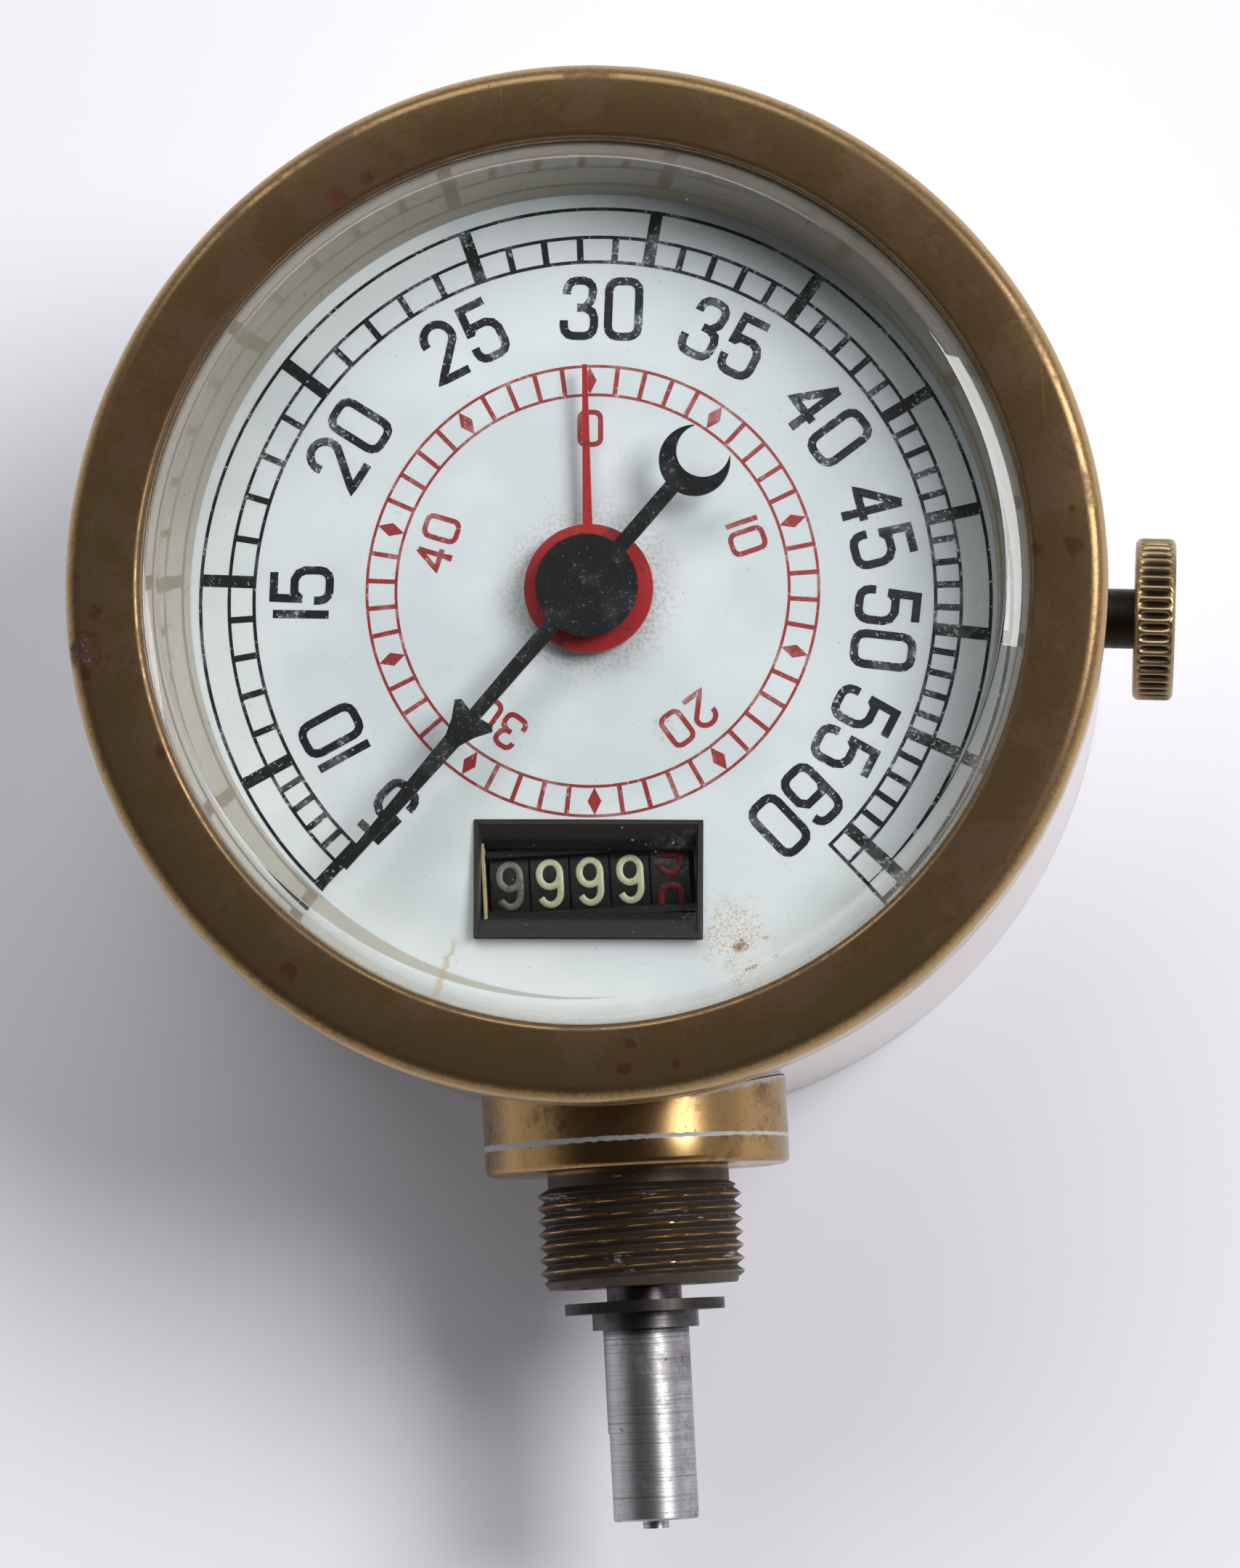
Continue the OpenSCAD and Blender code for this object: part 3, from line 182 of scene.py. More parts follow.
class Graph(Tree):
    """Node tree of one material, with positions in millimetres."""

    def __init__(self, name: str) -> None:
        """Makes an empty material.

        Args:
            name: the material's name.
        """
        self.material = bpy.data.materials.new(name)
        self.material.use_nodes = True
        super().__init__(self.material.node_tree)
        self.tree.nodes.clear()
        coordinates = self.node("ShaderNodeTexCoord")
        self.place = self.vector("SCALE", coordinates.outputs["Object"], Scale=1 / MM)
        split = self.node("ShaderNodeSeparateXYZ", None, {"Vector": self.place})
        self.x, self.y, self.z = (Val(self, socket) for socket in split.outputs)

    def math(self, operation: str, *terms: "Val | float") -> Val:
        """Result of a Math node over the terms."""
        made = self.node("ShaderNodeMath", {"operation": operation}, dict(enumerate(terms)))
        return Val(self, made.outputs[0])

    def vector(self, operation: str, *terms: object, **named: object) -> Val:
        """Adds a Vector Math node.

        Args:
            operation: what it works out.
            terms: its first sockets' values or links.
            named: other sockets' values or links.

        Returns:
            The result, a value or a vector.
        """
        inputs = {**dict(enumerate(terms)), **named}
        made = self.node("ShaderNodeVectorMath", {"operation": operation}, inputs)
        scalar = operation in ("DISTANCE", "LENGTH", "DOT_PRODUCT")
        return Val(self, made.outputs["Value" if scalar else "Vector"])

    def radius(self) -> Val:
        """Distance from the dial's axis."""
        return (self.x * self.x + self.y * self.y) ** 0.5

    def around(self, side: Val, axis_z: float) -> Val:
        """Distance from a level axis at that height, given the distance to one side of it."""
        up = self.z - axis_z
        return (side * side + up * up) ** 0.5

    def noise(
        self, scale: float, detail: float = 4.0, rough: float = 0.55, stretch: Sequence[float] = ()
    ) -> Val:
        """Noise from 0 to 1.

        Args:
            scale: features per millimetre.
            detail: octaves of finer noise.
            rough: weight of the finer octaves.
            stretch: scale factors along the axes, if not all one.

        Returns:
            The noise value.
        """
        at = self.vector("MULTIPLY", self.place, tuple(stretch)) if stretch else self.place
        settings = {"Vector": at, "Scale": scale, "Detail": detail, "Roughness": rough}
        return Val(self, self.node("ShaderNodeTexNoise", None, settings).outputs[0])

    def cells(self, scale: float) -> Val:
        """Distance to the nearest of scattered points, as a share of their spacing."""
        made = self.node("ShaderNodeTexVoronoi", None, {"Vector": self.place, "Scale": scale})
        return Val(self, made.outputs["Distance"])

    def step(self, value: Val, low: float, high: float) -> Val:
        """Smooth ramp.

        Args:
            value: what it follows.
            low: the value that gives 0; it may be the larger one.
            high: the value that gives 1.

        Returns:
            The ramp.
        """
        settings = {"interpolation_type": "SMOOTHSTEP", "clamp": True}
        inputs = {"Value": value, "From Min": low, "From Max": high}
        return Val(self, self.node("ShaderNodeMapRange", settings, inputs).outputs[0])

    def mix(self, share: Val | float, first: object, second: object) -> Val:
        """Colour between two.

        Args:
            share: weight of the second one.
            first: a colour or a link to one.
            second: a colour or a link to one.

        Returns:
            The mixed colour.
        """
        inputs = {"Factor_Float": share, "A_Color": first, "B_Color": second}
        made = self.node("ShaderNodeMix", {"data_type": "RGBA"}, inputs)
        return Val(self, self.find(made.outputs, "Result_Color"))

    def spot(self, centre: Sequence[float], size: float, ragged: Val) -> Val:
        """Mask of a ragged stain around a point.

        Args:
            centre: its place.
            size: its radius.
            ragged: noise that moves its edge.

        Returns:
            The mask, 1 inside.
        """
        away = self.vector("DISTANCE", self.place, tuple(centre))
        return self.step(away + (ragged - 0.5) * (2.2 * size), size, size * 0.45)

    def lines(self, angle: float, spacing: float, share: float) -> Val:
        """Mask of fine straight scratches in the plane of the dial.

        Args:
            angle: their direction in degrees.
            spacing: their spacing in millimetres.
            share: how much of the surface they take.

        Returns:
            The mask.
        """
        turn, scale = (0, 0, math.radians(angle)), (1 / spacing, 0.02, 0.1)
        inputs = {"Vector": self.place, "Rotation": turn, "Scale": scale}
        turned = self.node("ShaderNodeMapping", {"vector_type": "POINT"}, inputs)
        inputs = {"Vector": turned.outputs[0], "Scale": 1.0, "Detail": 2.0, "Roughness": 0.5}
        value = Val(self, self.node("ShaderNodeTexNoise", None, inputs).outputs[0])
        return self.step(value, 0.78 - share, 0.84 - share)

    def bump(self, height: Val, depth: float) -> Val:
        """Normal of a surface raised by height times depth, in millimetres."""
        inputs = {"Strength": 1.0, "Distance": depth * MM, "Height": height}
        return Val(self, self.node("ShaderNodeBump", None, inputs).outputs[0])

    def shader(self, **inputs: object) -> bpy.types.Node:
        """Principled shader with sockets named by words joined with underscores."""
        named = {key.replace("_", " "): value for key, value in inputs.items()}
        return self.node("ShaderNodeBsdfPrincipled", None, named)

    def close(self, shader: bpy.types.Node) -> None:
        """Ends the tree in that shader."""
        self.node("ShaderNodeOutputMaterial", None, {"Surface": shader.outputs[0]})


@dataclass(frozen=True)
class Finish:
    """A named surface whose subclass writes its shader."""

    name: str

    def paint(self, g: Graph) -> None:
        """Writes the shader into the tree."""
        raise NotImplementedError

    @functools.cache
    def material(self) -> bpy.types.Material:
        """Makes the material once.

        Returns:
            The finished material.
        """
        graph = Graph(self.name)
        self.paint(graph)
        return graph.material


@dataclass(frozen=True)
class Metal(Finish):
    """Metal with clouds of patina, specks and fine tool marks."""

    bright: Colour
    dull: Colour
    dirt: Colour
    patina: float = 0.5
    rough: float = 0.3
    metallic: float = 0.9
    cloud: float = 0.12

    def base(self, g: Graph) -> tuple[Val, Val]:
        """Writes the plain metal.

        Args:
            g: the material's tree.

        Returns:
            Its colour and roughness.
        """
        cloud = g.noise(self.cloud, 5, 0.6)
        fine = g.noise(1.4, 5, 0.6)
        dull = g.step(cloud + (fine - 0.5) * 0.35, 0.72 - self.patina * 0.5, 0.92 - self.patina * 0.5)
        colour = g.mix(dull, self.bright, self.dull)
        specks = g.step(g.noise(2.6, 3, 0.5), 0.62, 0.74)
        colour = g.mix(specks * 0.55, colour, self.dirt)
        return colour, self.rough + dull * 0.16 + specks * 0.12

    def paint(self, g: Graph) -> None:
        """Writes the shader.

        Args:
            g: the material's tree.
        """
        colour, rough = self.base(g)
        normal = g.bump(g.noise(3.0, 3), 0.01)
        g.close(g.shader(Base_Color=colour, Roughness=rough, Metallic=self.metallic, Normal=normal))


@dataclass(frozen=True)
class BezelBrass(Metal):
    """Olive-brown bezel with copper stains, scratches, rubbed edges that also carry a painted highlight on
    the outer rounding, and one burnt spot.
    """

    stains: tuple[tuple[float, float, float], ...] = ()
    burn: tuple[float, float, float] = (-52.6, -4.6, 60.6)
    worn: Colour = srgb(196, 162, 110)
    copper: Colour = srgb(100, 54, 38)
    soot: Colour = srgb(34, 31, 34)
    ash: Colour = srgb(150, 156, 160)
    outer_r: float = 54.5
    inner_r: float = 46.4
    top: float = 62.0

    def paint(self, g: Graph) -> None:
        """Writes the shader.

        Args:
            g: the material's tree.
        """
        colour, rough = self.base(g)
        radius = g.radius()
        ragged = g.noise(0.7, 4, 0.6)
        fine = g.noise(2.2, 4, 0.65)
        for x, y, size in self.stains:
            mask = g.spot((x, y, self.top), size, ragged)
            colour = g.mix(mask * 0.65, colour, self.copper)
        pits = g.step(g.cells(0.28) + (ragged - 0.5) * 0.1, 0.09, 0.03)
        colour = g.mix(pits * 0.5, colour, self.copper)
        scratch = g.lines(24, 0.16, 0.05) + g.lines(-52, 0.2, 0.04) + g.lines(80, 0.25, 0.03)
        colour = g.mix(scratch * 0.16, colour, self.worn)
        # Rubbed edges in paler brass; on the outer rounding the pale band is stronger than wear alone, as a
        # painted highlight.
        rim = g.step(radius + (fine - 0.5) * 1.1, self.outer_r - 1.3, self.outer_r - 0.2)
        lip = g.step(radius + (fine - 0.5) * 0.5, self.inner_r + 0.4, self.inner_r + 0.1)
        edge = g.math("MAXIMUM", rim * 0.7, lip * 0.12)
        colour = g.mix(edge, colour, self.worn)
        halo = g.spot(self.burn, 3.0, ragged)
        colour = g.mix(halo * 0.8, colour, self.copper)
        burnt = g.spot(self.burn, 2.1, ragged)
        char = g.mix(g.step(g.noise(3.2, 4, 0.7), 0.56, 0.68), self.soot, self.ash)
        colour = g.mix(burnt, colour, char)
        normal = g.bump(fine + scratch * 0.3, 0.012)
        metallic = self.metallic * (1 - burnt)
        rough = rough - edge * 0.12 + burnt * 0.3
        g.close(g.shader(Base_Color=colour, Roughness=rough, Metallic=metallic, Normal=normal))


@dataclass(frozen=True)
class BossBrass(Metal):
    """Golden brass with a pale residue along a joint and around the barrel."""

    joint_y: float = -57.4
    barrel_r: float = 53.05
    flare: float = 1.1
    flare_z: float = 53.2
    residue: Colour = srgb(186, 190, 192)

    def seam(self, g: Graph, fine: Val) -> Val:
        """Ragged pale line along the joint, wider at its left end.

        Args:
            g: the material's tree.
            fine: noise that moves its edges.

        Returns:
            The mask.
        """
        broad = g.step(g.x, 14.0, -16.0) * 0.12
        return g.step(abs(g.y - self.joint_y) + (fine - 0.5) * 0.5 - broad, 0.26, 0.12)

    def paint(self, g: Graph) -> None:
        """Writes the shader.

        Args:
            g: the material's tree.
        """
        colour, rough = self.base(g)
        fine = g.noise(1.1, 4, 0.6)
        wall = self.barrel_r + self.flare - g.z * (self.flare / self.flare_z)
        away = g.radius() - wall
        saddle = g.step(away + (fine - 0.5) * 1.4, 0.7, 0.2) * g.step(g.x, 3.0, 9.0)
        mask = g.math("MAXIMUM", self.seam(g, fine) * 0.9, saddle * 0.8)
        colour = g.mix(mask, colour, self.residue)
        metallic = self.metallic * (1 - mask)
        g.close(g.shader(Base_Color=colour, Roughness=rough + mask * 0.4, Metallic=metallic))


@dataclass(frozen=True)
class ThreadBrass(BossBrass):
    """Spigot brass: golden flange, dark thread valleys, bright crests and pale deposits."""

    axis_z: float = 24.5
    crest_r: float = 11.2
    start_y: float = -60.6
    valley: Colour = srgb(66, 58, 52)

    def paint(self, g: Graph) -> None:
        """Writes the shader.

        Args:
            g: the material's tree.
        """
        colour, rough = self.base(g)
        fine = g.noise(1.3, 4, 0.65)
        streak = g.noise(1.0, 3, 0.6, (0.11, 0.75, 0.11))
        across = g.around(g.x, self.axis_z)
        threaded = g.step(g.y, self.start_y + 0.3, self.start_y - 0.3)
        crest = g.step(across + (fine - 0.5) * 0.25, self.crest_r - 0.24, self.crest_r - 0.06)
        low = threaded * (1 - crest)
        colour = g.mix(low * 0.95, colour, self.valley)
        deposit = low * g.step(streak + (fine - 0.5) * 0.2, 0.63, 0.69)
        pale = g.math("MAXIMUM", deposit * 0.75, self.seam(g, fine) * 0.9)
        colour = g.mix(pale, colour, self.residue)
        rough = rough + low * 0.28 + pale * 0.3
        metallic = self.metallic * (1 - pale) * (1 - low * 0.5)
        g.close(g.shader(Base_Color=colour, Roughness=rough, Metallic=metallic))


@dataclass(frozen=True)
class KnobBrass(Metal):
    """Knob brass with dark grooves between its knurls."""

    axis_z: float = 38.55
    turn: float = 4.9
    rim_r: float = 8.65
    face_from: float = 57.4
    face_to: float = 61.7
    groove: Colour = srgb(38, 30, 24)

    def paint(self, g: Graph) -> None:
        """Writes the shader.

        Args:
            g: the material's tree.
        """
        colour, rough = self.base(g)
        out = (math.cos(math.radians(self.turn)), -math.sin(math.radians(self.turn)), 0.0)
        along = g.vector("DOT_PRODUCT", g.place, out)
        side = g.vector("DOT_PRODUCT", g.place, (-out[1], out[0], 0.0))
        across = g.around(side, self.axis_z)
        middle = g.step(along, self.face_from + 0.3, self.face_from + 0.6)
        middle = middle * g.step(along, self.face_to - 0.3, self.face_to - 0.6)
        deep = g.step(across, self.rim_r - 0.1, self.rim_r - 0.34) * middle
        colour = g.mix(deep * 0.92, colour, self.groove)
        g.close(g.shader(Base_Color=colour, Roughness=rough + deep * 0.3, Metallic=self.metallic))


@dataclass(frozen=True)
class TurnedSteel(Metal):
    """Steel with turning lines around an axis along Y and a few rust stains."""

    rust: Colour = srgb(104, 70, 48)
    black: Colour = srgb(58, 54, 54)
    collar_y: float = -77.8
    line_depth: float = 0.02

    def paint(self, g: Graph) -> None:
        """Writes the shader.

        Args:
            g: the material's tree.
        """
        colour, rough = self.base(g)
        rings = g.noise(1.0, 3, 0.7, (0.04, 3.4, 0.04))
        colour = g.mix(g.step(rings, 0.48, 0.66) * 0.55, colour, self.dirt)
        collar = g.step(g.y + (rings - 0.5) * 1.6, self.collar_y - 1.2, self.collar_y + 0.2)
        colour = g.mix(collar * 0.85, colour, self.black)
        stain = g.step(g.noise(0.55, 4, 0.6), 0.64, 0.72)
        colour = g.mix(stain * 0.65, colour, self.rust)
        normal = g.bump(rings, self.line_depth)
        rough = rough + stain * 0.25 + rings * 0.08
        g.close(g.shader(Base_Color=colour, Roughness=rough, Metallic=self.metallic, Normal=normal))


@dataclass(frozen=True)
class Enamel(Finish):
    """Fired enamel with dirt round the hub, a rust stain, a stained crack and painted shade towards the
    right.
    """

    white: Colour = srgb(239, 244, 248)
    shade: Colour = srgb(228, 234, 239)
    # Colour of the painted shade over the right of the dial.
    veil: Colour = srgb(164, 170, 176)
    dirt: Colour = srgb(120, 108, 92)
    rust: Colour = srgb(146, 80, 32)
    tan: Colour = srgb(204, 168, 106)
    stains: tuple[tuple[float, float, float], ...] = ()
    smears: tuple[tuple[float, float, float], ...] = ()
    crack: tuple[float, float] = (-17.9, -38.8)
    top: float = 48.4
    rough: float = 0.34
    coat: float = 0.5

    def paint(self, g: Graph) -> None:
        """Writes the shader.

        Args:
            g: the material's tree.
        """
        radius = g.radius()
        ragged = g.noise(0.6, 4, 0.6)
        fine = g.noise(2.4, 4, 0.6)
        grit = g.noise(3.6, 3, 0.6)
        colour = g.mix(g.step(g.noise(0.07, 3), 0.4, 0.62), self.white, self.shade)
        # Painted shade: the enamel darkens towards the right in place of the bezel's shadow on the dial.
        colour = g.mix(g.step(g.x * 0.9 + g.y * 0.4, 8.0, 40.0) * 0.5, colour, self.veil)
        hub = g.step(radius + (ragged - 0.5) * 5.0, 11.5, 6.0) * g.step(fine, 0.44, 0.62)
        colour = g.mix(hub * 0.4, colour, self.dirt)
        # The enamel is darker towards its outer edge, where the ring stands on it.
        rim = g.step(radius + (ragged - 0.5) * 1.2, 43.4, 45.0)
        colour = g.mix(rim * 0.5, colour, self.dirt)
        for x, y, size in self.smears:
            smear = g.spot((x, y, self.top), size, ragged) * g.step(grit, 0.46, 0.6)
            colour = g.mix(smear * 0.6, colour, self.tan)
        for x, y, size in self.stains:
            colour = g.mix(g.spot((x, y, self.top), size, fine) * 0.85, colour, self.rust)
        across = (g.x - self.crack[0]) * 0.83 - (g.y - self.crack[1]) * 0.55
        along = abs((g.x - self.crack[0]) * 0.55 + (g.y - self.crack[1]) * 0.83)
        vein = g.step(abs(across + (ragged - 0.5) * 2.2), 0.5, 0.05) * g.step(along, 4.2, 2.2)
        colour = g.mix(vein * 0.5, colour, self.tan)
        specks = g.step(grit, 0.69, 0.74)
        colour = g.mix(specks * 0.55, colour, self.dirt)
        normal = g.bump(g.noise(0.5, 3), 0.02)
        coat = {"Coat_Weight": self.coat, "Coat_Roughness": 0.12}
        g.close(g.shader(Base_Color=colour, Roughness=self.rough, Normal=normal, **coat))


@dataclass(frozen=True)
class Paint(Finish):
    """Paint or print worn through to a paler ground in specks."""

    colour: Colour
    ground: Colour
    wear: float = 0.2
    rough: float = 0.5
    size: float = 1.6
    coat: float = 0.0
    fade: float = 0.12
    gloss: float = 0.5

    def paint(self, g: Graph) -> None:
        """Writes the shader.

        Args:
            g: the material's tree.
        """
        cloud = g.noise(0.3, 3)
        grain = g.noise(self.size, 4, 0.6)
        worn = g.step(grain + (cloud - 0.5) * 0.35, 0.8 - self.wear, 0.85 - self.wear)
        thin = g.step(cloud, 0.48, 0.7) * self.fade
        colour = g.mix(g.math("MAXIMUM", worn * 0.8, thin), self.colour, self.ground)
        normal = g.bump(grain, 0.008)
        rough = self.rough + worn * 0.2
        plain = {"Coat_Weight": self.coat, "Specular_IOR_Level": self.gloss}
        g.close(g.shader(Base_Color=colour, Roughness=rough, Normal=normal, **plain))


@dataclass(frozen=True)
class CounterBlack(Paint):
    """Black of the counter drums and their window, with dust and a web in the right-hand corners."""

    corners: tuple[tuple[float, float, float, float], ...] = (
        (7.6, -27.4, 46.4, 3.4),
        (9.6, -35.4, 47.6, 2.2),
    )
    rim_z: float = 60.0
    rim: Colour = srgb(48, 46, 45)

    def paint(self, g: Graph) -> None:
        """Writes the shader.

        Args:
            g: the material's tree.
        """
        grain = g.noise(2.6, 5, 0.7)
        ragged = g.noise(0.8, 4, 0.65)
        colour = g.mix(g.step(g.z, self.rim_z - 0.5, self.rim_z + 0.1), self.colour, self.rim)
        dust = g.step(grain, 0.56, 0.74) * 0.4
        for x, y, z, size in self.corners:
            veil = g.spot((x, y, z), size, ragged) * g.step(grain, 0.36, 0.62)
            dust = g.math("MAXIMUM", dust, veil * 0.75)
        colour = g.mix(dust, colour, self.ground)
        rough = self.rough + dust * 0.2
        g.close(g.shader(Base_Color=colour, Roughness=rough, Specular_IOR_Level=self.gloss))


@dataclass(frozen=True)
class BevelGlass(Finish):
    """Old plate glass with dust and a film of grime on its bevel."""

    inner_r: float = 44.3
    outer_r: float = 46.4
    grime: Colour = srgb(150, 142, 126)
    pale: Colour = srgb(190, 186, 176)
    index: float = 1.52
    tint: Colour = (0.97, 0.985, 0.98, 1.0)

    def paint(self, g: Graph) -> None:
        """Writes the shader.

        Args:
            g: the material's tree.
        """
        radius = g.radius()
        cloud = g.noise(0.22, 4, 0.6)
        fine = g.noise(2.0, 4, 0.6)
        clear = g.shader(Base_Color=self.tint, Roughness=0.0, IOR=self.index, Transmission_Weight=1.0)
        through = g.node("ShaderNodeBsdfTransparent", None, {"Color": self.tint})
        light = g.node("ShaderNodeLightPath")
        straight = g.math("MAXIMUM", light.outputs["Is Shadow Ray"], light.outputs["Is Diffuse Ray"])
        plain = g.node("ShaderNodeMixShader", None, {0: straight, 1: clear.outputs[0], 2: through.outputs[0]})
        film = g.shader(Base_Color=g.mix(fine, self.grime, self.pale), Roughness=0.7)
        bevel = g.step(radius, self.inner_r - 0.1, self.inner_r + 0.5) * g.step(radius, 48.0, 47.0)
        foot = g.step(radius + (fine - 0.5) * 1.0, self.outer_r - 0.5, self.outer_r)
        dust = g.step(g.noise(1.7, 3, 0.5), 0.73, 0.77) * 0.5
        mask = bevel * (0.1 + cloud * 0.16) + foot * 0.2 + dust
        g.close(g.node("ShaderNodeMixShader", None, {0: mask, 1: plain.outputs[0], 2: film.outputs[0]}))


@dataclass(frozen=True)
class Floor(Finish):
    """Pale studio floor."""

    colour: Colour = srgb(243, 242, 250)
    shade: Colour = srgb(232, 231, 240)

    def paint(self, g: Graph) -> None:
        """Writes a plain pale surface into the tree."""
        tone = g.mix(g.noise(0.02, 2) * 0.06, self.colour, self.shade)
        g.close(g.shader(Base_Color=tone, Roughness=0.8))


BEZEL = BezelBrass(
    "bezel_brass",
    srgb(119, 95, 64),
    srgb(95, 74, 52),
    srgb(62, 46, 34),
    patina=0.55,
    rough=0.27,
    metallic=0.76,
    stains=(
        (-23.9, 41.8, 1.3),
        (-20.5, 43.6, 0.8),
        (-32.6, -38.9, 1.2),
        (2.6, -48.6, 0.7),
        (1.9, -51.1, 0.9),
        (7.1, -51.0, 0.7),
        (50.9, 0.2, 1.25),
        (51.0, 4.2, 0.65),
        (46.9, 0.3, 1.1),
        (-51.2, -0.5, 0.9),
        (-53.2, 3.0, 0.6),
        (-44.8, -15.5, 0.9),
    ),
)
CASE = Metal(
    "case_metal",
    srgb(218, 213, 206),
    srgb(208, 201, 191),
    srgb(190, 174, 156),
    patina=0.2,
    rough=0.17,
    metallic=0.97,
    cloud=0.05,
)
GOLDEN = (srgb(166, 134, 90), srgb(122, 92, 62), srgb(74, 50, 36))
BOSS = BossBrass("boss_brass", *GOLDEN, patina=0.45, rough=0.27, metallic=0.97)
SPIGOT = ThreadBrass("spigot_brass", *GOLDEN, patina=0.45, rough=0.2, metallic=0.97)
RUBBED = (srgb(160, 138, 104), srgb(114, 94, 70), srgb(66, 50, 38))
KNOB = KnobBrass("knob_brass", *RUBBED, patina=0.5, rough=0.28, metallic=0.92)
PLATE_BRASS = Metal("movement_brass", srgb(196, 160, 96), srgb(150, 118, 68), srgb(96, 70, 44), patina=0.4)
BRONZE = Metal("bronze", srgb(176, 132, 82), srgb(132, 96, 60), srgb(84, 58, 40), patina=0.4, rough=0.32)
GREY = (srgb(176, 176, 180), srgb(140, 138, 140), srgb(96, 88, 84))
STEEL = Metal("steel", *GREY, patina=0.4, metallic=0.95)
DARK_STEEL = Metal("dark_steel", srgb(64, 59, 57), srgb(48, 44, 43), srgb(84, 68, 56), rough=0.38)
TURNED = (srgb(184, 182, 186), srgb(150, 147, 150), srgb(92, 84, 82))
SHAFT = TurnedSteel("shaft_steel", *TURNED, patina=0.4, rough=0.28, metallic=0.97)
INNER_WALL = Paint(
    "inner_wall", srgb(164, 155, 139), srgb(130, 120, 104), wear=0.12, rough=0.07, size=1.2, coat=0.4
)
STEM = Metal("stem_black", srgb(44, 38, 34), srgb(32, 28, 26), srgb(62, 48, 38), rough=0.42, metallic=0.8)
DIAL = Enamel(
    "enamel",
    stains=((13.7, -38.2, 0.9), (16.6, -37.6, 0.5), (19.8, -38.8, 0.5)),
    smears=(
        (13.0, -36.8, 4.2),
        (-19.5, -40.2, 2.6),
        (-9.0, -10.0, 2.0),
        (7.0, -15.0, 2.4),
        (-16.2, -18.4, 1.2),
    ),
)
BLACK_INK = Paint("black_print", srgb(26, 27, 30), srgb(196, 201, 206), size=2.6, fade=0.2, gloss=0.2)
RED_INK = Paint(
    "red_print", srgb(152, 42, 44), srgb(214, 190, 190), wear=0.19, rough=0.45, size=2.6, fade=0.3
)
HAND_BLACK = Paint(
    "hand_black", srgb(18, 18, 20), srgb(112, 112, 114), wear=0.18, rough=0.55, size=3.0, gloss=0.15
)
HAND_RED = Paint("hand_red", srgb(172, 32, 36), srgb(70, 26, 26), rough=0.4, size=0.8)
DRUM = CounterBlack("drum_black", srgb(16, 16, 17), srgb(84, 84, 82), gloss=0.2)
FRAME = CounterBlack("frame_black", srgb(15, 15, 16), srgb(112, 111, 110), rim_z=48.6, gloss=0.2)
CREAM = Paint("digit_cream", srgb(186, 184, 150), srgb(132, 130, 104), rough=0.4, size=2.0)
CREAM_FADED = Paint("digit_faded", srgb(104, 104, 92), srgb(60, 60, 54), wear=0.26, size=1.4, fade=0.5)
DIGIT_RED = Paint("digit_red", srgb(96, 26, 26), srgb(36, 22, 22), wear=0.3, fade=0.5, gloss=0.2)
WORN = (srgb(214, 196, 156), srgb(176, 156, 118), srgb(92, 76, 54))
SLIVER = Metal("sliver_brass", *WORN, patina=0.4, metallic=0.7, cloud=0.4)
GLASS = BevelGlass("bevelled_glass")

GROUPS: tuple[tuple[Finish, str], ...] = (
    (CASE, "case_shell back_cover"),
    (STEEL, "back_screws plate_screws counter_axle trip_shaft jack_spindle governor_pins sector_stud"),
    (STEEL, "clutch_washer reset_washer friction_wheel trip_tube reset_disc governor_spring reset_spring"),
    (PLATE_BRASS, "bridge_pillars counter_brackets jack_bracket trip_brackets front_plate upper_bracket"),
    (PLATE_BRASS, "arbor_bridge reset_bracket reset_bush jack_wheel trip_shaft_wheel trip_wheel"),
    (PLATE_BRASS, "counter_wheel hand_pinion sector_lever flyweight_right flyweight_left"),
    (BRONZE, "hand_bush spigot_bush governor_hub governor_collar drive_worm jack_worm trip_worm"),
    (DRUM, "tenths_drum units_drum tens_drum hundreds_drum thousands_drum"),
    # The hand's arbor takes the hand's black as well, which keeps the dimple at the hub dark.
    (HAND_BLACK, "hand_arbor speed_hand"),
)
NODE_FINISH: dict[str, Finish] = {
    **{node: finish for finish, nodes in GROUPS for node in nodes.split()},
    "bezel": BEZEL,
    "glass": GLASS,
    "inner_ring": INNER_WALL,
    "dial": DIAL,
    "window_frame": FRAME,
    "drive_boss": BOSS,
    "drive_spigot": SPIGOT,
    "drive_shaft": SHAFT,
    "drive_washer": DARK_STEEL,
    "trip_hand": HAND_RED,
    "reset_stem": STEM,
    "reset_knob": KNOB,
}
ROUNDED: dict[str, float] = {"drive_washer": 0.45, "drive_shaft": 0.2, "drive_boss": 0.3}


